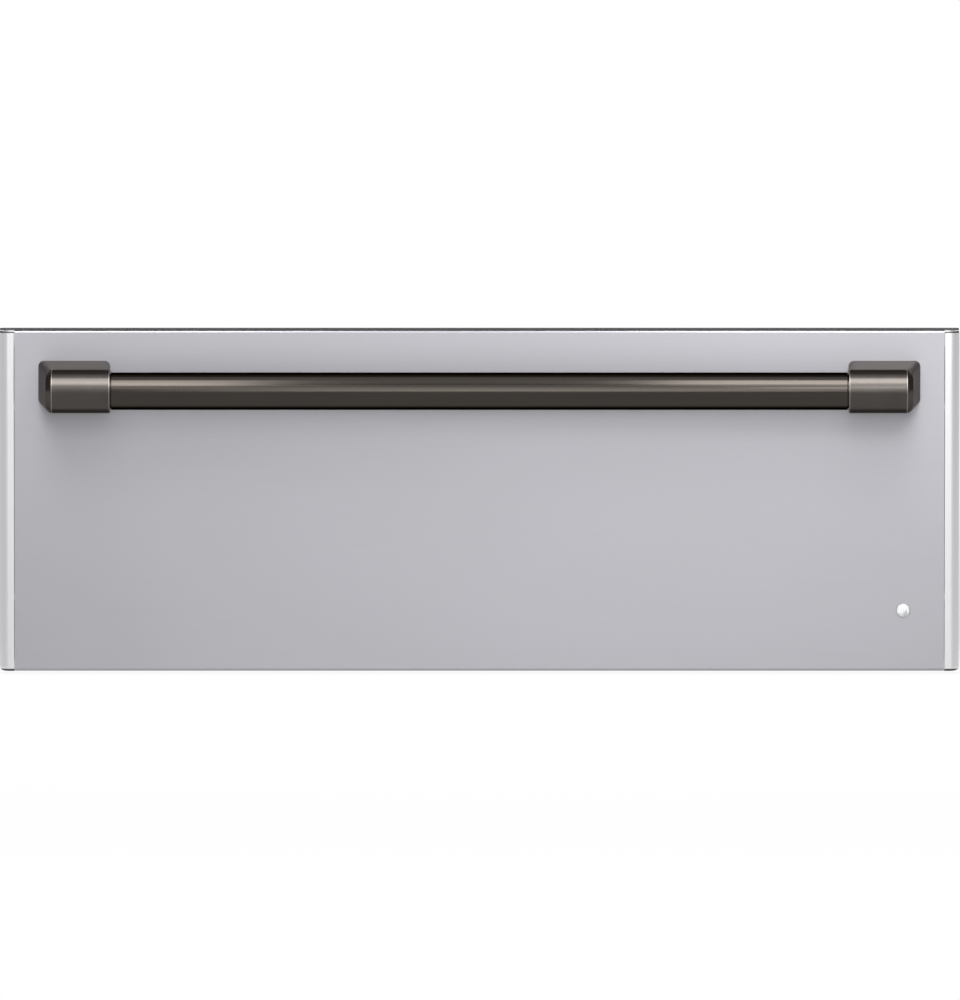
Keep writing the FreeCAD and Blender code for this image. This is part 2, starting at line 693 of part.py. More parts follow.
def make_vent():
    """A slotted cover on the inner sheet and the shutter that slides behind it."""
    outer = f"{inner} + vent_stand + vent_sheet"
    channel = "(vent_height / 2 - vent_sheet)"
    cover = box(
        ("-vent_width / 2", "vent_width / 2"),
        (inner, outer),
        (f"{vent_level} - vent_height / 2", f"{vent_level} + vent_height / 2"),
    )
    room = box(
        ("-vent_width / 2 - vent_sheet", "vent_width / 2 + vent_sheet"),
        (inner, f"{inner} + vent_stand"),
        (f"{vent_level} - {channel}", f"{vent_level} + {channel}"),
    )
    knob_level = f"({vent_level} + vent_slot_height / 2 + shutter_knob_height)"
    knob_window = box(
        ("-shutter_knob / 2 - shutter_gap", "shutter_knob / 2 + shutter_travel + shutter_gap"),
        (f"{inner} + vent_stand", outer),
        (
            f"{knob_level} - shutter_knob_height / 2 - shutter_gap",
            f"{knob_level} + shutter_knob_height / 2 + shutter_gap",
        ),
    )
    node("vent_cover", cut(cover, room, knob_window, *vent_slots(f"{inner} + vent_stand", outer)))
    plate_start = f"({inner} + (vent_stand - shutter_sheet) / 2)"
    half = "(vent_width / 2 - shutter_travel)"
    plate = box(
        (f"-{half}", half),
        (plate_start, f"{plate_start} + shutter_sheet"),
        (f"{vent_level} - {channel} + shutter_gap", f"{vent_level} + {channel} - shutter_gap"),
    )
    knob = box(
        ("-shutter_knob / 2", "shutter_knob / 2"),
        (plate_start, f"{outer} + shutter_knob_rise"),
        (f"{knob_level} - shutter_knob_height / 2", f"{knob_level} + shutter_knob_height / 2"),
    )
    slots = vent_slots(plate_start, f"{plate_start} + shutter_sheet")
    node("humidity_shutter", cut(fuse(plate, knob), *slots))


# ---------------------------------------------------------------- handle
def make_handle_post(side, sign):
    """A block that narrows from the skin to the bar and ends in a round collar."""
    wedge = document.addObject("Part::Wedge", "wedge")
    near, far = f"({collar_inner} + post_inset)", collar_outer
    base = f"({collar_outer} + post_splay)"
    front_span = mirrored((near, far), sign)
    base_span = mirrored((near, base), sign)
    spans = {
        "Xmin": front_span[0], "Xmax": front_span[1], "X2min": base_span[0], "X2max": base_span[1],
        "Zmin": "-collar_diameter / 2", "Zmax": "collar_diameter / 2",
        "Z2min": "post_lift - collar_diameter / 2", "Z2max": "post_lift + collar_diameter / 2",
        "Ymin": "-handle_reach", "Ymax": 0,
    }
    for name, expression in spans.items():
        wedge.setExpression(name, bound(expression))
    place(wedge, 0, face, bar_level)
    document.recompute()
    block = document.addObject("Part::Fillet", "rounded")
    block.Base = wedge
    corner = number("post_round")
    reach = number("handle_reach")
    long_edges = [
        index for index, edge in enumerate(wedge.Shape.Edges, start=1)
        if edge.BoundBox.YLength > reach - SAME
    ]
    block.Edges = [(index, corner, corner) for index in long_edges]
    axis_y = f"({face} - handle_reach)"
    low = collar_inner if sign > 0 else f"-({collar_outer} - collar_bevel)"
    length = f"{collar_outer} - collar_bevel - {collar_inner}"
    barrel = rod("collar_diameter / 2", (low, axis_y, bar_level), length, "x")
    bevel = cone(
        "collar_diameter / 2", "collar_diameter / 2 - collar_bevel",
        (f"({sign}) * ({collar_outer} - collar_bevel)", axis_y, bar_level), "collar_bevel", X_AXIS * sign,
    )
    collar = fuse(barrel, bevel)
    bore = cone(
        "bar_diameter / 2", "bar_diameter / 2", (f"({sign}) * {collar_inner}", axis_y, bar_level),
        "bar_spigot", X_AXIS * sign,
    )
    threads = []
    for across in handle_screw_places(sign):
        start = (across, f"{face} - handle_screw_bite", post_level)
        threads.append(rod("handle_screw / 2", start, "handle_screw_bite", "y"))
    node(f"handle_post_{side}", cut(fuse(block, collar), bore, *threads))


def make_handle_bar():
    """A round bar that runs into both collars, necked where it enters them."""
    body = new_body("handle_bar")
    section = sketch_on(body, "XY_Plane")
    radius, neck = "bar_diameter / 2", "(bar_diameter / 2 - collar_ease)"
    entry, end = collar_inner, f"({collar_inner} + bar_spigot)"
    corners = [
        (f"-{end}", 0), (end, 0), (end, radius), (entry, radius), (entry, neck),
        (f"{entry} - collar_ease", neck), (f"{entry} - collar_ease * 2", radius),
        (f"-({entry} - collar_ease * 2)", radius), (f"-({entry} - collar_ease)", neck),
        (f"-{entry}", neck), (f"-{entry}", radius), (f"-{end}", radius),
    ]
    outline(section, corners)
    turned = body.newObject("PartDesign::Revolution", "turned")
    turned.Profile = section
    turned.ReferenceAxis = (section, ["H_Axis"])
    turned.Angle = 360
    place(body, 0, f"{face} - handle_reach", bar_level)


def make_handle_fixings():
    """Plates behind the skin and the screws that pull the posts against it."""
    seat = f"({face} + skin_sheet + backer_sheet)"
    plates = []
    for side, sign in SIDES:
        holes = []
        for across in handle_screw_places(sign):
            start = (across, face, post_level)
            holes.append(rod("handle_screw / 2 + screw_clearance", start, "front_depth", "y"))
        plates.append(cut(backer_box(sign), *holes))
    node("handle_backers", group(*plates))
    screws = []
    for across in [across for side, sign in SIDES for across in handle_screw_places(sign)]:
        length = f"{seat} - ({face} - handle_screw_bite)"
        shank = rod("handle_screw / 2", (across, f"{face} - handle_screw_bite", post_level), length, "y")
        head = rod("handle_screw_head / 2", (across, seat, post_level), "handle_screw_rise", "y")
        screws.append(fuse(shank, head))
    node("handle_screws", group(*screws))


# ---------------------------------------------------------------- pilot light
def make_pilot():
    """A domed lens in a thin bezel, lit through a clear rod from a lamp on the case."""
    flange_start = (pilot_side, f"{face} - bezel_proud", pilot_level)
    flange = rod("bezel_diameter / 2", flange_start, "bezel_proud", "y")
    sleeve = rod("bezel_sleeve / 2", (pilot_side, face, pilot_level), "bezel_depth", "y")
    bore_start = (pilot_side, f"{face} - lens_dome", pilot_level)
    bore = rod("lens_diameter / 2", bore_start, "lens_dome + bezel_depth", "y")
    node("pilot_bezel", cut(fuse(flange, sleeve), bore))
    stem_start = (pilot_side, f"{face} - bezel_proud - lens_dome", pilot_level)
    stem = rod("lens_diameter / 2", stem_start, "bezel_proud + lens_dome + lens_depth", "y")
    crown = document.addObject("Part::Sphere", "crown")
    crown_radius = "((lens_diameter * lens_diameter / 4 + lens_dome * lens_dome) / (2 * lens_dome))"
    crown.setExpression("Radius", bound(crown_radius))
    place(crown, pilot_side, f"{face} - bezel_proud - lens_dome + {crown_radius}", pilot_level)
    lens = document.addObject("Part::Common", "lens")
    lens.Base = stem
    lens.Tool = crown
    node("pilot_lens", lens)
    pipe_start = (pilot_side, f"{face} + lens_depth", pilot_level)
    node("light_pipe", rod("pipe_diameter / 2", pipe_start, "front_depth - lens_depth", "y"))
    holder_start = (pilot_side, f"{frame} - lamp_flange", pilot_level)
    collar = rod("lamp_holder / 2 + lamp_flange", holder_start, "lamp_flange", "y")
    holder = rod("lamp_holder / 2", (pilot_side, frame, pilot_level), "lamp_depth", "y")
    bulb_start = (pilot_side, f"{frame} - 2 * lamp_flange", pilot_level)
    bulb = rod("lamp_diameter / 2", bulb_start, "lamp_flange", "y")
    node("pilot_lamp", fuse(collar, holder, bulb))


# ---------------------------------------------------------------- case
def bent_wrapper():
    """Floor and sides in one bent sheet, with flanges under the lid."""
    body = blank("case_wrapper")
    section = sketch_on(body, "XZ_Plane")
    low, high, half = "skid_height", lid_under, case_half
    right = [
        (half, low), (half, high), (f"{half} - case_flange", high),
        (f"{half} - case_flange", f"{high} - case_sheet"), (f"{half} - case_sheet", f"{high} - case_sheet"),
        (f"{half} - case_sheet", f"{low} + case_sheet"),
    ]
    left = [(f"-({across})", up) for across, up in reversed(right)]
    outline(section, right + left)
    pad(body, section, f"{case_depth} - frame_sheet - case_sheet", backwards=True)
    return place(body, y=behind)


def lid_screw_places():
    """Tops of the screws that hold the lid to the wrapper's flanges."""
    first, last = f"({behind} + lid_screw_inset)", f"({rear} - lid_screw_inset)"
    for side, sign in SIDES:
        for along in (first, f"({first} + {last}) / 2", last):
            yield (f"({sign}) * ({case_half} - case_flange / 2)", along, case_top)


def back_screw_places():
    """Heads of the screws through the wrapper's sides into the back, with their direction."""
    for side, sign in SIDES:
        for level in ("skid_height + back_screw_inset", f"{case_top} - back_screw_inset"):
            yield sign, (f"({sign}) * {case_half}", f"{rear} - case_sheet - case_flange / 2", level)


def make_case_shells():
    """Wrapper, lid and back, with the screws that hold them together."""
    lid_holes = [screw_path(start, "z", -1) for start in lid_screw_places()]
    side_holes = [screw_path(start, "x", -sign) for sign, start in back_screw_places()]
    node("case_wrapper", cut(bent_wrapper(), *lid_holes, *side_holes))
    lid = box((f"-{case_half}", case_half), (behind, rear), (lid_under, case_top))
    node("case_lid", cut(lid, *lid_holes))
    plate = box((f"-{case_half}", case_half), (f"{rear} - case_sheet", rear), ("skid_height", lid_under))
    flanges = []
    for side, sign in SIDES:
        flange = box(
            mirrored((f"{case_half} - 2 * case_sheet", f"{case_half} - case_sheet"), sign),
            (f"{rear} - case_sheet - case_flange", f"{rear} - case_sheet"),
            ("skid_height + case_flange", f"{case_top} - case_flange"),
        )
        flanges.append(flange)
    openings = louvres()
    openings.append(rod("gland_sleeve / 2 + fit_gap", gland_start(rear, -1), "case_flange", "y"))
    node("case_back", cut(fuse(plate, *flanges), *side_holes, *openings))
    lid_screws = [screw(start, "z", -1) for start in lid_screw_places()]
    side_screws = [screw(start, "x", -sign) for sign, start in back_screw_places()]
    node("case_screws", group(*lid_screws, *side_screws))


def louvres():
    """Air slots near the top of the case back."""
    slots = []
    for side, sign in SIDES:
        for index in range(int(number("louvre_count"))):
            level = f"({louvre_level} + {index} * louvre_pitch)"
            middle = f"({sign}) * louvre_side + {index % 2} * louvre_step"
            slots.append(
                box(
                    (f"{middle} - louvre_width / 2", f"{middle} + louvre_width / 2"),
                    (f"{rear} - case_sheet", rear),
                    (level, f"{level} + louvre_height"),
                )
            )
    return slots


def gland_start(depth, turn):
    """The gland's axis point, a flange's length inside or outside a depth."""
    along = f"{depth} - case_flange / 2" if turn < 0 else depth
    return (service_side, along, f"{service_level} + gland_rise")


def make_front_frame():
    """The flange that covers the cabinet opening, with the cavity's mouth and the control window."""
    plate = box((f"-{frame_half}", frame_half), (frame, behind), (frame_bottom, frame_top))
    mouth = box((f"-{cavity_half}", cavity_half), (frame, behind), (cavity_bottom, cavity_top))
    window_half = "(fascia_width / 2 - fascia_lip)"
    window_rise = "(fascia_height / 2 - fascia_lip)"
    window = box(
        (f"-{window_half}", window_half), (frame, behind),
        (f"{fascia_middle} - {window_rise}", f"{fascia_middle} + {window_rise}"),
    )
    holes = [rod("lamp_holder / 2", (pilot_side, frame, pilot_level), "frame_sheet", "y")]
    for side, sign in SIDES:
        for level in (mount_low, f"{mount_low} + mount_pitch"):
            start = (f"({sign}) * {mount_side}", frame, level)
            holes.append(rod("mount_hole / 2", start, "frame_sheet", "y"))
    node("front_frame", cut(plate, mouth, window, *holes))


def make_frame_seals():
    """The gasket round the mouth and the bumpers at the corners."""
    thickness = (f"{frame} - front_gap + rest_gap", frame)
    low, high = f"({cavity_bottom} - gasket_edge)", f"({cavity_top} + gasket_edge)"
    outer = box(
        (f"-{gasket_half} - gasket_width", f"{gasket_half} + gasket_width"), thickness,
        (f"{low} - gasket_width", f"{high} + gasket_width"),
    )
    opening = box((f"-{gasket_half}", gasket_half), thickness, (low, high))
    ring = cut(rounded(outer, "gasket_round", Y_AXIS), rounded(opening, "gasket_round", Y_AXIS))
    node("mouth_gasket", ring)
    bumpers = []
    for side, sign in SIDES:
        for level in (f"{frame_bottom} + bumper_rise", f"{frame_top} - bumper_drop"):
            start = (f"({sign}) * {bumper_side}", f"{frame} - front_gap + rest_gap", level)
            bumpers.append(rod("bumper_diameter / 2", start, "front_gap - rest_gap", "y"))
    node("corner_bumpers", group(*bumpers))


def make_skids():
    rails = []
    for side, sign in SIDES:
        rails.append(
            box(
                mirrored((f"{case_half} - skid_inset - skid_width", f"{case_half} - skid_inset"), sign),
                (f"{frame} + skid_setback", f"{rear} - skid_setback"),
                (0, "skid_height"),
            )
        )
    node("skid_rails", group(*rails))


# ---------------------------------------------------------------- heated cavity
def element_legs():
    """X of the four legs of the heating element."""
    return [f"({index} - 3 / 2) * element_pitch" for index in range(4)]


def probe_start():
    return ("probe_side", f"{cavity_back} - probe_length", probe_level)


def slide_screw_places():
    """Y of the screws of one slide."""
    first = f"({slide_start} + slide_screw_inset)"
    last = f"({slide_start} + slide_length - slide_screw_inset)"
    return (first, f"(({first} + {last}) / 2)", last)


def slide_screw(sign, along, gap=0):
    """A countersunk screw through the outer slide member and the liner."""
    inside = f"({sign}) * ({cavity_half} - slide_sheet)"
    head = cone(
        f"screw_head / 2 + ({gap})", f"screw_diameter / 2 + ({gap})",
        (inside, along, slide_level), "slide_sheet", X_AXIS * sign,
    )
    shank = cone(
        f"screw_diameter / 2 + ({gap})", f"screw_diameter / 2 + ({gap})",
        (f"({sign}) * {cavity_half}", along, slide_level), f"screw_length + ({gap})", X_AXIS * sign,
    )
    return fuse(head, shank)


def slide_screw_holes():
    return [slide_screw(sign, along, "fit_gap") for side, sign in SIDES for along in slide_screw_places()]


def make_cavity_liner():
    """The stainless box that is heated, open at the front."""
    outside = box(
        (f"-{cavity_half} - case_sheet", f"{cavity_half} + case_sheet"),
        (behind, liner_back), (f"{cavity_bottom} - case_sheet", f"{cavity_top} + case_sheet"),
    )
    inside = box(
        (f"-{cavity_half}", cavity_half), (behind, cavity_back), (cavity_bottom, cavity_top),
    )
    holes = slide_screw_holes()
    for across in (element_legs()[0], element_legs()[-1]):
        start = (across, f"{cavity_back} - case_sheet", element_level)
        holes.append(rod("element_diameter / 2 + fit_gap", start, "case_sheet + element_tail", "y"))
    holes.append(rod("probe_diameter / 2 + fit_gap", probe_start(), "probe_length + case_sheet", "y"))
    node("cavity_liner", cut(outside, inside, *holes))


def make_insulation():
    """Fibre blanket between the liner and the case, with bays for the electrics."""
    half = f"({case_half} - case_sheet - case_lip)"
    top = f"({lid_under} - case_lip)"
    whole = box((f"-{half}", half), (behind, f"{rear} - case_sheet"), ("skid_height + case_sheet", top))
    core = box(
        (f"-{cavity_half} - case_sheet", f"{cavity_half} + case_sheet"),
        (behind, liner_back), (f"{cavity_bottom} - case_sheet", f"{cavity_top} + case_sheet"),
    )
    control_bay = box(
        ("-bay_width / 2", "bay_width / 2"), (behind, f"{behind} + bay_depth"),
        (f"{fascia_middle} - fascia_height / 2 - fascia_lip", top),
    )
    service_bay = box(
        (f"{service_side} - service_width / 2", f"{service_side} + service_width / 2"),
        (liner_back, f"{rear} - case_sheet"),
        (service_level, f"{service_level} + service_height"),
    )
    rooms = [core, control_bay, service_bay]
    rooms.append(rod("lamp_holder / 2", (pilot_side, behind, pilot_level), "lamp_depth", "y"))
    for across in (element_legs()[0], element_legs()[-1]):
        start = (across, cavity_back, element_level)
        rooms.append(rod("element_diameter / 2 + fit_gap", start, "element_tail", "y"))
    probe_exit = ("probe_side", cavity_back, probe_level)
    rooms.append(rod("probe_diameter / 2 + fit_gap", probe_exit, "element_tail", "y"))
    rooms.append(rod("cutout_diameter / 2", (0, liner_back, cutout_level), "cutout_depth", "y"))
    rooms += slide_screw_holes()
    rooms += [screw_path(start, "x", -sign) for sign, start in back_screw_places()]
    for start in lid_screw_places():
        rooms.append(screw_path(start, "z", -1))
    node("insulation_blanket", cut(whole, *rooms))


def make_heater():
    """A reflector on the cavity floor, the element on its clips and the two temperature controls."""
    half = f"({cavity_half} - reflector_gap)"
    start, end = f"({frame} + reflector_setback)", f"({cavity_back} - reflector_rear)"
    top = f"({cavity_bottom} + reflector_height)"
    tray = box((f"-{half}", half), (start, end), (cavity_bottom, top))
    under = box(
        (f"-{half} + reflector_sheet", f"{half} - reflector_sheet"),
        (f"{start} + reflector_sheet", f"{end} - reflector_sheet"),
        (cavity_bottom, f"{top} - reflector_sheet"),
    )
    node("heat_reflector", cut(tray, under))
    legs = element_legs()
    front, back = f"({frame} + element_front)", f"({cavity_back} - element_rear)"
    tail_end = f"({cavity_back} + element_tail)"
    ends = (tail_end, back, back, tail_end)
    wire = "element_diameter / 2"
    runs = []
    for across, end in zip(legs, ends):
        runs.append(rod(wire, (across, front, element_level), f"{end} - {front}", "y"))
    for index in (0, 2):
        middle = f"(({legs[index]}) + ({legs[index + 1]})) / 2"
        runs.append(bend("element_pitch / 2", wire, (middle, front, element_level), 180, 180))
    runs.append(bend("element_pitch / 2", wire, (0, back, element_level), 0, 180))
    element = node("heating_element", fuse(*runs))
    clips = []
    for across in legs:
        middle = f"({front} + {back}) / 2"
        clip = box(
            (f"({across}) - clip_width / 2", f"({across}) + clip_width / 2"),
            (f"{middle} - clip_length / 2", f"{middle} + clip_length / 2"), (top, element_level),
        )
        groove_start = (across, f"{middle} - clip_length", element_level)
        clips.append(cut(clip, rod(wire, groove_start, "clip_length * 2", "y")))
    node("element_clips", group(*clips))
    probe = rod("probe_diameter / 2", probe_start(), "probe_length + element_tail", "y")
    flange_start = ("probe_side", f"{cavity_back} - probe_flange_sheet", probe_level)
    flange = rod("probe_flange / 2", flange_start, "probe_flange_sheet", "y")
    node("temperature_probe", fuse(probe, flange))
    node("thermal_cutout", rod("cutout_diameter / 2", (0, liner_back, cutout_level), "cutout_depth", "y"))


def make_rear_services():
    """The terminal block in its bay and the gland where the mains lead enters."""
    block = box(
        (f"{service_side} - terminal_width / 2", f"{service_side} + terminal_width / 2"),
        (f"{rear} - case_sheet - terminal_depth", f"{rear} - case_sheet"),
        (f"{service_level} + terminal_rise", f"{service_level} + terminal_rise + terminal_height"),
    )
    poles = []
    pole_level = f"{service_level} + terminal_rise + terminal_height / 2"
    for index in range(TERMINALS):
        across = f"{service_side} + ({index - (TERMINALS - 1) / 2}) * terminal_width / {TERMINALS}"
        start = (across, f"{rear} - case_sheet - terminal_depth", pole_level)
        poles.append(rod("screw_head / 2", start, "terminal_bite", "y"))
    node("terminal_block", cut(block, *poles))
    flange = rod("gland_diameter / 2", gland_start(rear, 1), "gland_flange", "y")
    start = (service_side, f"{rear} - gland_inside", f"{service_level} + gland_rise")
    sleeve = rod("gland_sleeve / 2", start, "gland_inside + gland_reach", "y")
    bore = rod("gland_bore / 2", start, "gland_inside + gland_reach", "y")
    node("cord_gland", cut(fuse(flange, sleeve), bore))


# ---------------------------------------------------------------- controls
def button_places():
    """Name and X of each button."""
    middle = (len(BUTTONS) - 1) / 2
    return [(name, f"({index - middle}) * button_pitch") for index, name in enumerate(BUTTONS)]


def button_hole(across, gap, start, length):
    return box(
        (f"{across} - button_width / 2 - ({gap})", f"{across} + button_width / 2 + ({gap})"),
        (start, f"{start} + ({length})"),
        (f"{button_level} - button_height / 2 - ({gap})", f"{button_level} + button_height / 2 + ({gap})"),
    )


def make_button(name, across):
    """A moulded cap with a flange that keeps it behind the fascia."""
    body = new_body(f"button_{name}")
    half_width, half_height = "(button_width / 2)", "(button_height / 2)"
    cap_sketch = sketch_on(body, "XZ_Plane")
    rectangle(cap_sketch, (f"-{half_width}", half_width), (f"-{half_height}", half_height))
    cap = pad(body, cap_sketch, "button_proud + fascia_wall + button_body", backwards=True)
    fillet(body, cap, "button_round", Y_AXIS)
    flange_sketch = sketch_on(body, "XZ_Plane", "-(button_proud + fascia_wall)")
    wide, tall = f"({half_width} + button_flange)", f"({half_height} + button_flange)"
    rectangle(flange_sketch, (f"-{wide}", wide), (f"-{tall}", tall))
    pad(body, flange_sketch, "button_flange", backwards=True)
    place(body, across, f"{frame} - fascia_proud - button_proud", button_level)


def light_places():
    """X of the level lights, one above each button."""
    return [across for name, across in button_places()]


def make_controls():
    """Fascia, buttons, lights, switches and circuit board behind the top of the front."""
    half = "(fascia_width / 2)"
    low, high = f"({fascia_middle} - fascia_height / 2)", f"({fascia_middle} + fascia_height / 2)"
    front = f"({frame} - fascia_proud)"
    shell = box((f"-{half}", half), (front, frame), (low, high))
    room = box(
        (f"-{half} + fascia_lip", f"{half} - fascia_lip"), (f"{front} + fascia_wall", frame),
        (f"{low} + fascia_lip", f"{high} - fascia_lip"),
    )
    tools = [room]
    tools += [button_hole(across, "button_gap", front, "fascia_proud") for name, across in button_places()]
    light_level = f"({fascia_middle} + light_rise)"
    for across in light_places():
        tools.append(rod("light_diameter / 2", (across, front, light_level), "fascia_proud", "y"))
    tray = cut(shell, *tools)
    posts = []
    for side, sign in SIDES:
        start = (f"({sign}) * (board_width / 2 - board_post)", f"{front} + fascia_wall", fascia_middle)
        posts.append(rod("board_post / 2", start, f"{board_front} - ({front} + fascia_wall)", "y"))
    node("control_fascia", fuse(tray, *posts))
    for name, across in button_places():
        make_button(name, across)
    lights = []
    for across in light_places():
        start = (across, f"{front} - button_gap", light_level)
        lights.append(rod("light_diameter / 2", start, f"{board_front} - ({front} - button_gap)", "y"))
    node("level_lights", group(*lights))
    switches = []
    for name, across in button_places():
        switches.append(
            box(
                (f"{across} - switch_size / 2", f"{across} + switch_size / 2"),
                (switch_front, board_front),
                (f"{button_level} - switch_size / 2", f"{button_level} + switch_size / 2"),
            )
        )
    node("button_switches", group(*switches))
    board = box(
        ("-board_width / 2", "board_width / 2"), (board_front, f"{board_front} + board_sheet"),
        (f"{fascia_middle} - board_height / 2", f"{fascia_middle} + board_height / 2"),
    )
    node("control_board", board)


# ---------------------------------------------------------------- ball slides
outer_tip = f"({carriage_half} + member_tip)"
race = "(ball_diameter + 2 * ball_play)"
outer_half = "(slide_height / 2)"
middle_half = f"({outer_half} - slide_sheet - {race})"
inner_half_height = f"({middle_half} - slide_sheet - {race})"
middle_web = f"({cavity_half} - slide_sheet - member_gap)"
inner_tip = f"({middle_web} - slide_sheet - member_gap)"


def channel(body, sign, web, tip, half):
    """A slide member: a web with two flanges, its web on the given X and its tips on another."""
    section = sketch_on(body, "XZ_Plane")
    inward = 1 if number(tip) > number(web) else -1
    wall = f"({web} + ({inward}) * slide_sheet)"
    corners = [
        (web, f"-{half}"), (tip, f"-{half}"),
        (tip, f"-{half} + slide_sheet"), (wall, f"-{half} + slide_sheet"),
        (wall, f"{half} - slide_sheet"), (tip, f"{half} - slide_sheet"),
        (tip, half), (web, half),
    ]
    outline(section, [(f"({sign}) * {across}", up) for across, up in corners])
    pad(body, section, "slide_length", backwards=True)
    return place(body, 0, slide_start, slide_level)


def make_ball_cage(name, sign, web, tip, level, ball_side):
    """A thin channel that spaces two rows of balls."""
    cage_length = "((ball_rows - 1) * ball_pitch + 2 * cage_end)"
    start = f"({slide_start} + (slide_length - {cage_length}) / 2)"
    web_span = mirrored((f"{web} - cage_sheet / 2", f"{web} + cage_sheet / 2"), sign)
    tip_span = mirrored((tip, f"{web} - cage_sheet / 2"), sign)
    reach = (start, f"{start} + {cage_length}")
    height = f"({level} + cage_sheet / 2)"
    strips = [box(web_span, reach, (f"{slide_level} - {height}", f"{slide_level} + {height}"))]
    balls, holes = [], []
    for turn in (-1, 1):
        middle = f"({slide_level} + ({turn}) * {level})"
        strips.append(box(tip_span, reach, (f"{middle} - cage_sheet / 2", f"{middle} + cage_sheet / 2")))
        for index in range(int(number("ball_rows"))):
            along = f"{start} + cage_end + {index} * ball_pitch"
            ball = document.addObject("Part::Sphere", "ball")
            ball.setExpression("Radius", bound("ball_diameter / 2"))
            balls.append(place(ball, f"({sign}) * {ball_side}", along, middle))
            hole_start = (f"({sign}) * {ball_side}", along, f"{middle} - cage_sheet")
            holes.append(rod("ball_diameter / 2 + cage_play", hole_start, "cage_sheet * 2"))
    node(name, group(cut(fuse(*strips), *holes), *balls))


def make_slide(side, sign):
    """Outer, middle and inner members with a ball cage between each pair."""
    outer = channel(blank(f"slide_outer_{side}"), sign, cavity_half, outer_tip, outer_half)
    holes = [slide_screw(sign, along) for along in slide_screw_places()]
    node(f"slide_outer_{side}", cut(outer, *holes))
    channel(new_body(f"slide_middle_{side}"), sign, middle_web, outer_tip, middle_half)
    channel(new_body(f"slide_inner_{side}"), sign, carriage_half, inner_tip, inner_half_height)
    outer_cage = f"({cavity_half} - slide_sheet - member_gap / 2)"
    inner_cage = f"({inner_tip} + member_gap / 2)"
    outer_level = f"({middle_half} + {race} / 2)"
    inner_level = f"({inner_half_height} + {race} / 2)"
    outer_ball = f"(({outer_tip} + {middle_web}) / 2)"
    inner_ball = f"(({outer_tip} + {inner_tip}) / 2)"
    make_ball_cage(f"ball_cage_outer_{side}", sign, outer_cage, outer_tip, outer_level, outer_ball)
    make_ball_cage(f"ball_cage_inner_{side}", sign, inner_cage, outer_tip, inner_level, inner_ball)


# ---------------------------------------------------------------- carriage, pan and rack
def tab_screw_places():
    """Heads of the screws that hold the carriage tabs to the inner sheet."""
    inset = "(tab_inset + tab_screw_inset)"
    for side, sign in SIDES:
        for level in (f"{rail_bottom} + {inset}", f"{rail_top} - {inset}"):
            yield (f"({sign}) * ({carriage_half} - rail_tab / 2)", f"({inner} + rail_sheet)", level)


def make_carriage_rail(side, sign):
    """An angle that carries one side of the pan, with a tab on the drawer front."""
    body = blank(f"carriage_rail_{side}")
    section = sketch_on(body, "XZ_Plane")
    web, under = f"({carriage_half} - rail_sheet)", f"({rail_top} - rail_sheet)"
    corners = [
        (web, rail_bottom), (carriage_half, rail_bottom), (carriage_half, rail_top),
        (rail_inside, rail_top), (rail_inside, under), (web, under),
    ]
    outline(section, [(f"({sign}) * {across}", up) for across, up in corners])
    pad(body, section, f"{rail_end} - {inner}", backwards=True)
    place(body, y=inner)
    tab = box(
        mirrored((f"{carriage_half} - rail_tab", web), sign),
        (inner, f"{inner} + rail_sheet"), (f"{rail_bottom} + tab_inset", f"{rail_top} - tab_inset"),
    )
    holes = [screw_path(start, "y", -1) for start in tab_screw_places()]
    node(f"carriage_rail_{side}", cut(fuse(body, tab), *holes))


def make_cross_rail():
    """The angle that joins the rear ends of the carriage rails."""
    web, under = f"({carriage_half} - rail_sheet)", f"({rail_top} - rail_sheet)"
    low = f"({rail_top} - cross_height)"
    wall = box((f"-{web}", web), (f"{rail_end} - rail_sheet", rail_end), (low, under))
    shelf = box(
        (f"-{rail_inside}", rail_inside), (f"{rail_end} - rail_flange", rail_end), (under, rail_top),
    )
    node("rear_cross_rail", fuse(wall, shelf))


def make_pan():
    """A deep stainless pan whose rim lies on the carriage."""
    def block(inset, low, high, corner, foot):
        solid = box(
            (f"-{pan_half} + ({inset})", f"{pan_half} - ({inset})"),
            (f"{pan_front} + ({inset})", f"{pan_rear} - ({inset})"), (low, high),
        )
        solid = rounded(solid, corner, Z_AXIS)
        return base_rounded(solid, foot, low)

    outside = block(0, pan_base, f"{rail_top} + pan_sheet", "pan_corner", "pan_foot")
    inside = block("pan_sheet", f"{pan_base} + pan_sheet", f"{rail_top} + 2 * pan_sheet",
                   "pan_corner - pan_sheet", "pan_foot - pan_sheet")
    rim = box(
        (f"-{pan_half} - pan_rim + pan_gap", f"{pan_half} + pan_rim - pan_gap"),
        (f"{pan_front} - pan_rim", f"{pan_rear} + pan_rim"), (rail_top, f"{rail_top} + pan_sheet"),
    )
    node("drawer_pan", cut(fuse(outside, rounded(rim, "pan_corner", Z_AXIS)), inside))


def base_rounded(solid, radius, low):
    """A fillet round every edge of the solid's bottom face."""
    document.recompute()
    level = number(low)
    feature = document.addObject("Part::Fillet", "rounded")
    feature.Base = solid
    size = number(radius)
    feature.Edges = [
        (index, size, size) for index, edge in enumerate(solid.Shape.Edges, start=1)
        if edge.BoundBox.ZMax < level + SAME
    ]
    return feature


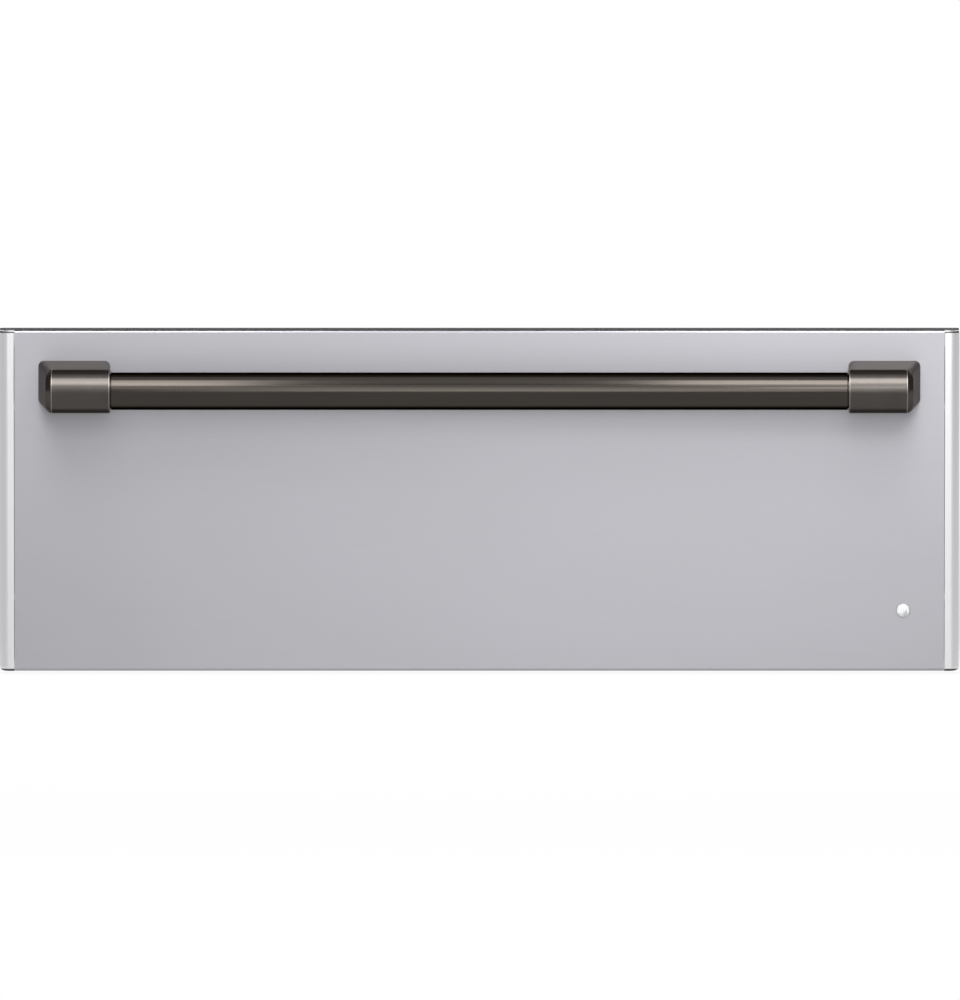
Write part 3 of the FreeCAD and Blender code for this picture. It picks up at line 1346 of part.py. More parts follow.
def make_rack():
    """A half-width wire rack that stands in the pan."""
    floor = f"({pan_base} + pan_sheet)"
    wire, rod_radius = "(rack_wire / 2)", "(rack_rod / 2)"
    level = f"({floor} + rack_height)"
    left = f"(-{pan_half} + pan_sheet + rack_gap)"
    right = f"({left} + rack_width)"
    front = f"(({pan_front} + {pan_rear} - rack_length) / 2)"
    back = f"({front} + rack_length)"
    straight_x, straight_y = "rack_width - 2 * rack_corner", "rack_length - 2 * rack_corner"
    pieces = [
        rod(wire, (f"{left} + rack_corner", front, level), straight_x, "x"),
        rod(wire, (f"{left} + rack_corner", back, level), straight_x, "x"),
        rod(wire, (left, f"{front} + rack_corner", level), straight_y, "y"),
        rod(wire, (right, f"{front} + rack_corner", level), straight_y, "y"),
    ]
    corners = (
        (f"{right} - rack_corner", f"{back} - rack_corner", 0),
        (f"{left} + rack_corner", f"{back} - rack_corner", 90),
        (f"{left} + rack_corner", f"{front} + rack_corner", 180),
        (f"{right} - rack_corner", f"{front} + rack_corner", 270),
    )
    for across, along, angle in corners:
        pieces.append(bend("rack_corner", wire, (across, along, level), angle, 90))
    rod_level = f"{level} + {wire} + {rod_radius} - rack_weld"
    count = int(number("(rack_length - 2 * rack_corner) / rack_pitch"))
    rods = []
    for index in range(count + 1):
        along = f"({front} + {back}) / 2 + ({index} - {count} / 2) * rack_pitch"
        start = (f"{left} - rack_rod / 2", along, rod_level)
        rods.append(rod(rod_radius, start, "rack_width + rack_rod", "x"))
    legs = []
    for across in (left, right):
        for along in (f"{front} + rack_corner + rack_wire", f"{back} - rack_corner - rack_wire"):
            legs.append(rod(rod_radius, (across, along, floor), f"rack_height + {wire} / 2"))
    node("wire_rack", fuse(*pieces, *legs, *rods))


def make_carriage_screws():
    node("carriage_screws", group(*[screw(start, "y", -1) for start in tab_screw_places()]))


# ---------------------------------------------------------------- the whole drawer
make_front_skin()
make_top_cap()
make_inner_sheet()
make_front_insulation()
make_vent()
make_handle_bar()
make_handle_fixings()
make_pilot()
make_case_shells()
make_front_frame()
make_frame_seals()
make_skids()
make_cavity_liner()
make_insulation()
make_heater()
make_rear_services()
make_controls()
slide_screws = [slide_screw(sign, along) for side, sign in SIDES for along in slide_screw_places()]
node("slide_screws", group(*slide_screws))
for side_name, side_sign in SIDES:
    make_side_trim(side_name, side_sign)
    make_handle_post(side_name, side_sign)
    make_slide(side_name, side_sign)
    make_carriage_rail(side_name, side_sign)
make_cross_rail()
make_pan()
make_rack()
make_carriage_screws()
document.recompute()

faults = [thing.Label for thing in document.Objects if {"Invalid", "Error"} & set(thing.State)]
for name, thing in nodes.items():
    if thing.Shape.isNull() or not thing.Shape.isValid() or not thing.Shape.Solids:
        faults.append(name)
if faults:
    raise RuntimeError(f"these pieces failed: {sorted(faults)}")

os.makedirs("parts", exist_ok=True)
for name, thing in nodes.items():
    thing.Shape.exportStep(f"parts/{name}.step")
    print(f"{name}: {len(thing.Shape.Solids)} solids, {thing.Shape.Volume / 1000:.2f} cm3")
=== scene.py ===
import json
import math

import bmesh
import bpy
import numpy as np
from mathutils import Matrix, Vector


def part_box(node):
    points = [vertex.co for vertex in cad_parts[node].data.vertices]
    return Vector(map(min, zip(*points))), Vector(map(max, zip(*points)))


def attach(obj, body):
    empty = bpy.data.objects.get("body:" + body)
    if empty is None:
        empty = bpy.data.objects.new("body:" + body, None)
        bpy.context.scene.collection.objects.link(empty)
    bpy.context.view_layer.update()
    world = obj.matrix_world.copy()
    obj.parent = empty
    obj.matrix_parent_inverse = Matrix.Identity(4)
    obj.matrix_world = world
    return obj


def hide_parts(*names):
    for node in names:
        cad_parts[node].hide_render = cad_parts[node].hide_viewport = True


# A 30 inch class warming drawer. The construction comes from the frame; this script gives it its finishes,
# the fine shapes of the handle and the side trims, the signs on the keys, and a plain studio.
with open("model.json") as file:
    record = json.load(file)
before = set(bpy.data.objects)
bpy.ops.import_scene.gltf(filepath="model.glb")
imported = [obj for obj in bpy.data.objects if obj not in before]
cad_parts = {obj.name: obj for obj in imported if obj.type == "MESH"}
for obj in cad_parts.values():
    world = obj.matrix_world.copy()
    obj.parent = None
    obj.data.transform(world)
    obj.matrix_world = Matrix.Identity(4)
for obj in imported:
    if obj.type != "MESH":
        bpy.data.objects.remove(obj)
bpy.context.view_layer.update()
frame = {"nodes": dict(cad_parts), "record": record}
nodes = frame["nodes"]
mm = 0.001
print("frame loaded:", len(nodes), "nodes")


def linear(hexColour):
    # an sRGB hex colour as linear light
    part = np.array([int(hexColour[i:i + 2], 16) for i in (0, 2, 4)]) / 255
    light = np.where(part <= 0.04045, part / 12.92, ((part + 0.055) / 1.055) ** 2.4)
    return (*light.tolist(), 1.0)


# ---- meshes from numpy surfaces
def gridFaces(rows, columns, start, wrap):
    # quads between neighbouring rows and columns of points; the columns close on themselves if wrapped
    across = columns if wrap else columns - 1
    i, j = np.meshgrid(np.arange(rows - 1), np.arange(across), indexing="ij")
    k = (j + 1) % columns
    quads = np.stack([i * columns + j, i * columns + k, (i + 1) * columns + k, (i + 1) * columns + j], -1)
    return (quads.reshape(-1, 4) + start).tolist()


def solidFrom(name, grids):
    # one mesh of closed shells, each a grid of rings whose first and last ring are capped
    points, faces, start = [], [], 0
    for grid in grids:
        rows, columns = grid.shape[:2]
        points.append(grid.reshape(-1, 3))
        faces += gridFaces(rows, columns, start, True)
        faces.append(list(range(start, start + columns)))
        faces.append(list(range(start + (rows - 1) * columns, start + rows * columns)))
        start += rows * columns
    mesh = bpy.data.meshes.new(name)
    mesh.from_pydata((np.concatenate(points) * mm).tolist(), [], faces)
    tidy = bmesh.new()
    tidy.from_mesh(mesh)
    bmesh.ops.remove_doubles(tidy, verts=tidy.verts, dist=1e-6)
    bmesh.ops.recalc_face_normals(tidy, faces=tidy.faces)
    tidy.to_mesh(mesh)
    tidy.free()
    mesh.shade_smooth()
    mesh.set_sharp_from_angle(angle=math.radians(32))
    piece = bpy.data.objects.new(name, mesh)
    bpy.context.scene.collection.objects.link(piece)
    return piece


def easedLine(corners, radii, steps=6, guard=0.05):
    # a closed outline whose corners are arcs: each arc starts radius * tan(turn / 2) before its corner, and a
    # guard point just outside each end of an arc keeps the shading of the flats beside it flat
    corners = np.asarray(corners, float)
    before, after = np.roll(corners, 1, 0) - corners, np.roll(corners, -1, 0) - corners
    before /= np.linalg.norm(before, axis=1)[:, None]
    after /= np.linalg.norm(after, axis=1)[:, None]
    half = np.arccos(np.clip((before * after).sum(1), -1, 1)) / 2
    radii = np.broadcast_to(np.asarray(radii, float), half.shape)
    middle = before + after
    middle /= np.linalg.norm(middle, axis=1)[:, None]
    centres = corners + middle * (radii / np.sin(half))[:, None]
    first = corners + before * (radii / np.tan(half))[:, None] - centres
    last = corners + after * (radii / np.tan(half))[:, None] - centres
    share = np.linspace(0, 1, steps)[None, :, None]
    turn = (np.pi - 2 * half)[:, None, None]
    arc = (np.sin((1 - share) * turn) * first[:, None] + np.sin(share * turn) * last[:, None]) / np.sin(turn)
    lead, trail = (first + before * guard)[:, None], (last + after * guard)[:, None]
    return (centres[:, None] + np.concatenate([lead, arc, trail], 1)).reshape(-1, 2)


def turned(profile, centre, axis, segments=96):
    # a profile of (along, radius) pairs turned about an axis through the centre
    along, radius = np.asarray(profile, float).T
    angle = np.linspace(0, 2 * np.pi, segments, endpoint=False)
    side, up = radius[:, None] * np.cos(angle), radius[:, None] * np.sin(angle)
    run = np.repeat(along[:, None], segments, 1)
    order = {"x": (run, side, up), "y": (side, run, up), "z": (side, up, run)}[axis]
    return np.stack(order, -1) + np.asarray(centre, float)


def dress(piece, body, material, replaced=()):
    # a new piece rides on its body, takes its finish and hides the nodes that it stands for
    piece.data.materials.append(material)
    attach(piece, body)
    if replaced:
        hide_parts(*replaced)


def corners(node):
    # a node's lowest and highest corners in millimetres
    low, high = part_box(node)
    return np.array(low) / mm, np.array(high) / mm


# ---- materials
def addNode(tree, kind, settings=None, links=None):
    # one node: settings are inputs where the node has such a socket, else properties; links feed inputs
    node = tree.nodes.new(kind)
    for key, value in (settings or {}).items():
        if not isinstance(key, str) or key in node.inputs:
            node.inputs[key].default_value = value
        else:
            setattr(node, key, value)
    for key, source in (links or {}).items():
        tree.links.new(source, node.inputs[key])
    return node


def newMaterial(name, settings):
    # a material with one principled shader, and the object's own coordinates in metres
    material = bpy.data.materials.new(name)
    material.use_nodes = True
    tree = material.node_tree
    tree.nodes.clear()
    shader = addNode(tree, "ShaderNodeBsdfPrincipled", settings)
    addNode(tree, "ShaderNodeOutputMaterial", None, {"Surface": shader.outputs["BSDF"]})
    place = addNode(tree, "ShaderNodeTexCoord").outputs["Object"]
    return material, tree, shader, place


def grained(tree, place, grain, detail=4.0):
    # noise whose cells are grain = (x, y, z) millimetres
    stretch = addNode(tree, "ShaderNodeMapping", {"Scale": [1 / (size * mm) for size in grain]}, {"Vector": place})
    return addNode(
        tree, "ShaderNodeTexNoise", {"Scale": 1.0, "Detail": detail, "Roughness": 0.6},
        {"Vector": stretch.outputs["Vector"]},
    ).outputs["Fac"]


def spread(tree, source, low, high):
    # noise between 0.3 and 0.7 carried to a range of values
    return addNode(
        tree, "ShaderNodeMapRange", {"From Min": 0.3, "From Max": 0.7, "To Min": low, "To Max": high},
        {"Value": source},
    ).outputs["Result"]


def tinted(tree, source, first, second):
    # two colours mixed by noise
    return addNode(
        tree, "ShaderNodeMix", {"data_type": "RGBA", 6: linear(first), 7: linear(second)}, {0: source},
    ).outputs[2]


def bumped(tree, shader, source, height):
    # a relief of the height in millimetres
    bump = addNode(tree, "ShaderNodeBump", {"Strength": 1.0, "Distance": height * mm}, {"Height": source})
    tree.links.new(bump.outputs["Normal"], shader.inputs["Normal"])


def brushedMetal(name, look):
    # metal drawn over an abrasive belt: long fine scratches that stretch highlights across the grain
    settings = {
        "Metallic": 1.0, "Anisotropic": look.get("anisotropic", 0.0), "Anisotropic Rotation": look.get("turn", 0.0),
        "Specular Tint": linear(look.get("edge", "ffffff")),
    }
    material, tree, shader, place = newMaterial(name, settings)
    grain = grained(tree, place, look["grain"], look.get("detail", 4.0))
    clouds = grained(tree, place, look["clouds"], 2.0)
    mixed = addNode(
        tree, "ShaderNodeMix", {"data_type": "FLOAT", 0: look.get("cloudShare", 0.5)}, {2: grain, 3: clouds},
    ).outputs[0]
    fac = spread(tree, mixed, 0.0, 1.0)
    tree.links.new(tinted(tree, fac, *look["colours"]), shader.inputs["Base Color"])
    tree.links.new(spread(tree, grain, *look["roughness"]), shader.inputs["Roughness"])
    if look.get("relief"):
        bumped(tree, shader, grain, look["relief"])
    if look.get("anisotropic"):
        tangent = addNode(tree, "ShaderNodeTangent", {"direction_type": "RADIAL", "axis": "Z"})
        tree.links.new(tangent.outputs["Tangent"], shader.inputs["Tangent"])
    return material


brushed = {
    # No. 4 satin stainless, brushed along the front, under a clear fingerprint coat: soft, pale, faintly blue
    "brushedStainless": {
        "colours": ("9b9b9f", "a1a0a5"), "roughness": (0.37, 0.41), "grain": (60, 0.5, 0.5),
        "clouds": (400, 400, 250), "anisotropic": 0.5, "turn": 0.25,
    },
    # the same steel buffed brighter on the side trims, brushed up and down
    "buffedStainless": {
        "colours": ("d6d6d7", "dcdcde"), "roughness": (0.32, 0.36), "grain": (0.6, 0.6, 80),
        "clouds": (400, 400, 200),
    },
    # 2B mill finish of the pan, liner and inner sheet: cold rolled, cloudy, hardly any grain
    "millStainless": {
        "colours": ("bfc0c3", "c8c9cc"), "roughness": (0.28, 0.33), "grain": (50, 20, 50), "detail": 1.0,
        "clouds": (90, 90, 90),
    },
    # dark bronze plating on the round bar, brushed along its length
    "bronzeBar": {
        "colours": ("393633", "413c38"), "roughness": (0.15, 0.18), "grain": (70, 0.35, 0.35),
        "clouds": (300, 4, 4), "cloudShare": 0.35, "edge": "6a635d",
    },
    # the same plating on the cast end blocks, satin
    "bronzePost": {
        "colours": ("45413e", "4b4845"), "roughness": (0.25, 0.27), "grain": (30, 0.35, 0.35),
        "clouds": (20, 20, 20), "edge": "beb8b4",
    },
    # paler bronze on narrow bands at the rims of the collars: a painted highlight that stands in for the bright
    # edges there
    "bronzeRimPaintedHighlight": {
        "colours": ("78736e", "7f7974"), "roughness": (0.34, 0.38), "grain": (3, 3, 3), "clouds": (20, 20, 20),
    },
    # rolled slide steel under bright zinc: cool, slightly blue, satin
    "zincPlated": {
        "colours": ("b4b8bc", "c8ccd0"), "roughness": (0.3, 0.4), "grain": (8, 40, 0.8),
        "clouds": (15, 60, 15), "relief": 0.006,
    },
    # rolled aluminium of the reflector: very bright, fine mill lines front to back
    "rolledAluminium": {
        "colours": ("dcdee0", "eceef0"), "roughness": (0.2, 0.3), "grain": (0.8, 90, 0.8),
        "clouds": (60, 120, 60), "relief": 0.006,
    },
    # the element's nickel alloy sheath, baked dark by heat
    "oxidisedNickel": {
        "colours": ("33312e", "4a4540"), "roughness": (0.5, 0.62), "grain": (6, 6, 6),
        "clouds": (40, 40, 40),
    },
}


def galvanisedSteel():
    # hot dipped zinc sheet: crystals of a few millimetres, each of its own grey, dull and matt
    material, tree, shader, place = newMaterial("galvanisedSteel", {"Metallic": 1.0})
    spangle = {"Scale": 1 / (7 * mm), "Randomness": 1.0}
    crystals = addNode(tree, "ShaderNodeTexVoronoi", spangle, {"Vector": place})
    tone = addNode(tree, "ShaderNodeSeparateColor", None, {"Color": crystals.outputs["Color"]})
    tree.links.new(tinted(tree, tone.outputs["Red"], "a9adb0", "bfc3c6"), shader.inputs["Base Color"])
    tree.links.new(spread(tree, tone.outputs["Green"], 0.4, 0.5), shader.inputs["Roughness"])
    return material


def mouldedPlastic(name, look):
    # injection moulded polymer with a spark eroded texture of fine grit
    material, tree, shader, place = newMaterial(name, {"IOR": look["ior"]})
    grit = grained(tree, place, (look["grit"],) * 3)
    blotch = grained(tree, place, (30, 30, 30), 2.0)
    tree.links.new(tinted(tree, blotch, *look["colours"]), shader.inputs["Base Color"])
    tree.links.new(spread(tree, grit, *look["roughness"]), shader.inputs["Roughness"])
    bumped(tree, shader, grit, look["relief"])
    return material


moulded = {
    # ABS of the top cap, fascia and gland: near black, fine grit, low sheen
    "blackAbs": {
        "colours": ("2a2a2b", "323233"), "roughness": (0.42, 0.5), "ior": 1.54, "grit": 0.7, "relief": 0.01,
    },
    # polycarbonate keys, mid grey, smoother than the fascia
    "greyKeycap": {
        "colours": ("4a4b4e", "525357"), "roughness": (0.34, 0.4), "ior": 1.58, "grit": 0.6, "relief": 0.006,
    },
    # nylon lamp holder and printed signs: warm white, matt
    "whiteNylon": {
        "colours": ("e4e3de", "ecebe7"), "roughness": (0.45, 0.55), "ior": 1.53, "grit": 0.8, "relief": 0.008,
    },
    # extruded silicone seal: mid grey, dry and soft looking
    "greySilicone": {
        "colours": ("5b5b5a", "666665"), "roughness": (0.55, 0.65), "ior": 1.41, "grit": 1.2, "relief": 0.02,
    },
    # moulded rubber bumpers: black, matt
    "blackRubber": {
        "colours": ("202020", "2a2a2a"), "roughness": (0.6, 0.7), "ior": 1.52, "grit": 0.9, "relief": 0.02,
    },
    # glass epoxy board under green solder mask: glassy, the weave just showing
    "solderMask": {
        "colours": ("0f4a2b", "165c37"), "roughness": (0.22, 0.3), "ior": 1.55, "grit": 1.6, "relief": 0.01,
    },
}


def mineralFibre(name, look):
    # needled mineral wool: matted strands in every direction, dull and pale straw
    material, tree, shader, place = newMaterial(name, {"Roughness": 0.95, "IOR": 1.45, "Sheen Weight": 0.2})
    strands = grained(tree, place, look["strand"], 8.0)
    clumps = grained(tree, place, (25, 25, 25), 3.0)
    mixed = addNode(tree, "ShaderNodeMix", {"data_type": "FLOAT", 0: 0.4}, {2: strands, 3: clumps}).outputs[0]
    fac = spread(tree, mixed, 0.0, 1.0)
    tree.links.new(tinted(tree, fac, *look["colours"]), shader.inputs["Base Color"])
    bumped(tree, shader, strands, look["relief"])
    return material


fibres = {
    "pressedBoard": {"colours": ("b8ae90", "d2c9ad"), "strand": (3, 3, 3), "relief": 0.2},
    "glassWool": {"colours": ("c9bb8c", "e2d7ae"), "strand": (4, 4, 2), "relief": 0.8},
}


def polishedMetal(name, colours, roughness):
    # electroplated or ground bright steel: a mirror with the slightest haze
    material, tree, shader, place = newMaterial(name, {"Metallic": 1.0})
    haze = grained(tree, place, (12, 12, 12))
    tree.links.new(tinted(tree, haze, *colours), shader.inputs["Base Color"])
    tree.links.new(spread(tree, haze, *roughness), shader.inputs["Roughness"])
    return material


def clearRod():
    # cast acrylic light pipe: water clear, polished, with a faint edge tint
    material, tree, shader, place = newMaterial("castAcrylic", {"IOR": 1.49, "Transmission Weight": 0.9})
    haze = grained(tree, place, (8, 8, 8))
    tree.links.new(tinted(tree, haze, "dfe7ea", "eef4f6"), shader.inputs["Base Color"])
    tree.links.new(spread(tree, haze, 0.05, 0.12), shader.inputs["Roughness"])
    return material


def frostedLens():
    # white diffusing polycarbonate, glossy outside; the faint upright stripes of the prisms behind it are painted
    # shade, grey to white in the base colour
    settings = {
        "IOR": 1.58, "Subsurface Weight": 0.3, "Subsurface Radius": (1.0, 1.0, 1.0), "Subsurface Scale": 0.001,
    }
    material, tree, shader, place = newMaterial("opalPolycarbonate", settings)
    prismShadeStripes = grained(tree, place, (1.5, 30, 9), 1.0)
    fac = spread(tree, prismShadeStripes, 0.0, 1.0)
    # painted shade: the stripes of the prisms run from grey to white in the base colour
    tree.links.new(tinted(tree, fac, "b4b6b8", "ffffff"), shader.inputs["Base Color"])
    tree.links.new(spread(tree, prismShadeStripes, 0.12, 0.2), shader.inputs["Roughness"])
    return material


finishes = {name: brushedMetal(name, look) for name, look in brushed.items()}
finishes.update({name: mouldedPlastic(name, look) for name, look in moulded.items()})
finishes.update({name: mineralFibre(name, look) for name, look in fibres.items()})
finishes["galvanisedSteel"] = galvanisedSteel()
finishes["satinChrome"] = polishedMetal("satinChrome", ("a8a9ab", "c0c1c3"), (0.16, 0.24))
finishes["brightChrome"] = polishedMetal("brightChrome", ("d6d8da", "e4e6e8"), (0.06, 0.12))
finishes["groundSteel"] = polishedMetal("groundSteel", ("c4c6c8", "d4d6d8"), (0.05, 0.09))
finishes["castAcrylic"] = clearRod()
finishes["opalPolycarbonate"] = frostedLens()

slotFinish = {
    "brushed_stainless": "brushedStainless", "trim_stainless": "buffedStainless", "plain_stainless": "millStainless",
    "black_moulding": "blackAbs", "bronze_bar": "bronzeBar", "bronze_post": "bronzePost", "zinc_screw": "zincPlated",
    "galvanised_steel": "galvanisedSteel", "fibre_board": "pressedBoard", "fibre_blanket": "glassWool",
    "bright_bezel": "satinChrome", "frosted_lens": "opalPolycarbonate", "clear_rod": "castAcrylic",
    "white_moulding": "whiteNylon", "grey_silicone": "greySilicone", "black_rubber": "blackRubber",
    "bright_aluminium": "rolledAluminium", "element_sheath": "oxidisedNickel", "slide_steel": "zincPlated",
    "ball_steel": "groundSteel", "chromed_wire": "brightChrome", "green_board": "solderMask",
    "grey_button": "greyKeycap",
}
slotOf = {part["node"]: part["material_slot"] for part in frame["record"]["subparts"]}
for nodeName, nodeObject in nodes.items():
    for holder in nodeObject.material_slots:
        holder.material = finishes[slotFinish[slotOf[nodeName]]]
print("materials:", len(finishes))

# ---- handle
barLow, barHigh = corners("handle_bar")
barAxis = (barLow + barHigh) / 2
barRadius = (barHigh[2] - barLow[2]) / 2
skinLow = corners("front_skin")[0]
handle = {
    "collarRadius": 17.3, "collarInner": 289.5, "collarOuter": 339.7, "innerEase": 0.5, "outerEase": 0.7,
    "rim": 0.8, "rimProud": 0.08, "bevel": 5.0, "neck": 1.4, "neckLength": 0.9, "spigot": 30.0,
    "splay": 7.2, "lift": 4.1, "inset": 0.8, "roundAtSkin": 4.4, "roundAtBar": 5.2,
}


def handleBar():
    # a straight bar with a shallow turned neck where it enters each collar
    radius, entry = barRadius, handle["collarInner"]
    neck, end = radius - handle["neck"], entry + handle["spigot"]
    half = np.array([
        (0, radius), (entry - handle["neckLength"] - 0.7, radius), (entry - handle["neckLength"] - 0.6, radius),
        (entry - handle["neckLength"], radius - 0.2),
        (entry - handle["neckLength"] + 0.2, neck), (entry + 0.3, neck), (entry + 0.6, radius - 0.1),
        (end - 1, radius - 0.1), (end, 0),
    ])
    profile = np.vstack([half[::-1] * (-1, 1), half[1:]])
    return solidFrom("handleBar", [turned(profile, barAxis, "x", 160)])


def collarGrid(sign):
    # a profile turned about the bar: an eased inner end, a long barrel, and a wide bevel at the outer end
    size = handle
    inner, outer, radius, bevel = size["collarInner"], size["collarOuter"], size["collarRadius"], size["bevel"]
    steps = 8
    perCorner = steps + 2  # with the two guard points; only the three corners above the axis are kept
    outline = easedLine(
        [(inner, -radius), (inner, radius), (outer - bevel, radius), (outer, radius - bevel), (outer, -radius)],
        (0.01, size["innerEase"], size["outerEase"], 0.7, 0.01), steps,
    )[perCorner:4 * perCorner]
    outline = np.vstack([[inner, 0], outline, [outer, 0]])
    return turned(outline * (sign, 1), barAxis, "x", 128)


def postGrid(sign):
    # a block between the skin and the bar: its section is a rectangle with rounded corners, which widens
    # and lifts in a straight line towards the skin
    size = handle
    radius = size["collarRadius"]
    rings = []
    for share in np.linspace(0, 1, 24):
        base = 1 - share
        low, high = size["collarInner"] + size["inset"], size["collarOuter"] + size["splay"] * base
        level = barAxis[2] + size["lift"] * base
        box = [(low, level - radius), (high, level - radius), (high, level + radius), (low, level + radius)]
        ring = easedLine(box, size["roundAtBar"] + (size["roundAtSkin"] - size["roundAtBar"]) * base, 9)
        depth = np.full(len(ring), skinLow[1] + (barAxis[1] - skinLow[1]) * share)
        rings.append(np.stack([sign * ring[:, 0], depth, ring[:, 1]], -1))
    return np.array(rings)


def rimGrid(sign, start):
    # a narrow band that stands a hair proud of the barrel, with small chamfers
    edge = handle["collarRadius"] + handle["rimProud"]
    across = start + handle["rim"] * np.array([0, 0, 0.12, 0.88, 1, 1])
    radius = edge * np.array([0, 1, 1, 1, 1, 0]) - np.array([0, 0.12, 0, 0, 0.12, 0])
    return turned(np.stack([sign * across, radius], -1), barAxis, "x", 128)


dress(handleBar(), "drawer", finishes["bronzeBar"], ["handle_bar"])
for side, sign in (("left", -1), ("right", 1)):
    post = solidFrom(f"handlePost_{side}", [collarGrid(sign), postGrid(sign)])
    dress(post, "drawer", finishes["bronzePost"], [f"handle_post_{side}"])
# narrow bands at both ends of each collar in a paler bronze: a painted highlight for the bright edges of the collars
rims = [rimGrid(sign, start) for sign in (-1, 1)
        for start in (handle["collarInner"], handle["collarOuter"] - handle["bevel"] - 0.2)]
dress(solidFrom("collarPaintedHighlightRims", rims), "drawer", finishes["bronzeRimPaintedHighlight"])
print("handle made")

# ---- side trims
trim = {
    "wall": 2.0, "round": 6.8, "inside": 4.6, "ease": 0.5, "foot": 3.6, "gap": 0.2,
    "footPlug": 1.7, "topPlug": 0.9, "tab": 1.1, "tabInset": 3.0,
}


def trimSection(inner, outer, front, back):
    # an angle section seen from above: a front flat, a round corner and a side wall
    wall = trim["wall"]
    return easedLine(
        [(inner, front), (outer, front), (outer, back), (outer - wall, back), (outer - wall, front + wall),
         (inner, front + wall)],
        (trim["ease"], trim["round"], 0.3, 0.3, trim["inside"], 0.3), 14,
    )


def trimGrid(section, sign, levels, draws, inner, outer):
    # the section carried up through the levels; a draw moves its outer edge in, and the rest in proportion
    share = np.clip((section[:, 0] - inner) / (outer - inner), 0, 1)
    across = section[None, :, 0] - np.asarray(draws)[:, None] * share[None, :]
    depth = np.broadcast_to(section[None, :, 1], across.shape)
    level = np.broadcast_to(np.asarray(levels)[:, None], across.shape)
    return np.stack([sign * across, depth, level], -1)


def sideTrim(side, sign):
    # a steel angle between two black end plugs; the foot's outer corner is a quarter circle that both share
    low, high = corners(f"side_trim_{side}")
    outer, inner = max(abs(low[0]), abs(high[0])), min(abs(low[0]), abs(high[0]))
    section = trimSection(inner, outer, low[1], high[1])
    foot, plug, top = trim["foot"], trim["footPlug"], high[2] - trim["gap"]

    def drawAt(level):
        # how far the quarter circle has come in at a level above the foot
        rise = np.clip(np.asarray(level) - low[2], 0, foot)
        return foot - np.sqrt(foot ** 2 - (foot - rise) ** 2)

    plugLevels = low[2] + plug * np.linspace(0, 1, 8) ** 2
    barLevels = np.concatenate([low[2] + plug + (foot - plug) * np.linspace(0, 1, 6),
                                np.linspace(low[2] + foot, top - trim["tab"] - trim["topPlug"], 12)[1:]])
    topPlug = top - trim["tab"] - trim["topPlug"] * np.array([1.0, 0.0])
    tab = top - trim["tab"] * np.linspace(1, 0, 5)
    steel = [
        trimGrid(section, sign, barLevels, drawAt(barLevels), inner, outer),
        trimGrid(section, sign, tab, np.full(5, trim["tabInset"]), inner, outer),
    ]
    black = [
        trimGrid(section, sign, plugLevels, drawAt(plugLevels), inner, outer),
        trimGrid(section, sign, topPlug, np.full(2, 0.3), inner, outer),
    ]
    return solidFrom(f"sideTrim_{side}", steel), solidFrom(f"trimPlugs_{side}", black)


for side, sign in (("left", -1), ("right", 1)):
    angle, plugs = sideTrim(side, sign)
    dress(angle, "drawer", finishes["buffedStainless"], [f"side_trim_{side}"])
    dress(plugs, "drawer", finishes["blackAbs"])
print("trims made")

# ---- signs printed on the keys
keys = {"thick": 0.12, "stroke": 0.55, "ring": 2.1, "wavePitch": 2.4, "waveSwing": 0.45, "waveHalf": 2.0}


def arc(first, last):
    # points on a circle, with the angles in degrees clockwise from the top
    angle = np.radians(np.linspace(first, last, 49))
    return keys["ring"] * np.stack([np.sin(angle), np.cos(angle)], -1)


def wave(across):
    # one upright wave of rising heat: x = swing * sin(z)
    rise = np.linspace(-1, 1, 33)
    return np.stack([across + keys["waveSwing"] * np.sin(rise * np.pi * 1.1), rise * keys["waveHalf"]], -1)


def stroke(path, middle):
    # a flat line of ink along a path on the key's face
    path = np.asarray(path, float)
    ahead = np.gradient(path, axis=0)
    ahead /= np.linalg.norm(ahead, axis=1)[:, None]
    side = np.stack([-ahead[:, 1], ahead[:, 0]], -1) * keys["stroke"] / 2
    edges = np.stack([path + side, path - side, path - side, path + side], 1)
    depth = np.broadcast_to(middle[1] - keys["thick"] * np.array([1.0, 1.0, -0.3, -0.3]), edges.shape[:2])
    return np.stack([middle[0] + edges[:, :, 0], depth, middle[2] + edges[:, :, 1]], -1)


upright = [(0, 0.6), (0, 1.6), (0, 2.7)]
hands = [(0.0, 1.3), (0.0, 0.6), (0.0, 0.1), (0.5, -0.3), (1.0, -0.7)]
signs = {
    "power": [arc(38, 322), upright], "timer": [arc(1, 359), hands], "low": [wave(0)],
    "medium": [wave(keys["wavePitch"] * step) for step in (-0.5, 0.5)],
    "high": [wave(keys["wavePitch"] * step) for step in (-1, 0, 1)],
}
for name, paths in signs.items():
    low, high = corners(f"button_{name}")
    face = ((low[0] + high[0]) / 2, low[1], (low[2] + high[2]) / 2)
    dress(solidFrom(f"sign_{name}", [stroke(path, face) for path in paths]), f"button_{name}_body",
          finishes["whiteNylon"])
print("signs made")

# ---- studio
studio = {
    "floorHalf": 90.0, "floorColours": ("b2b2b2", "b8b8b8"), "seenColour": "f4f4f4",
    "lift": 0.6, "reach": (0.8, 2.2), "frontLift": 0.93, "frontEdge": (-0.2, 0.7),
    "worldGrey": "8c8c8e", "worldStrength": 1.2,
}


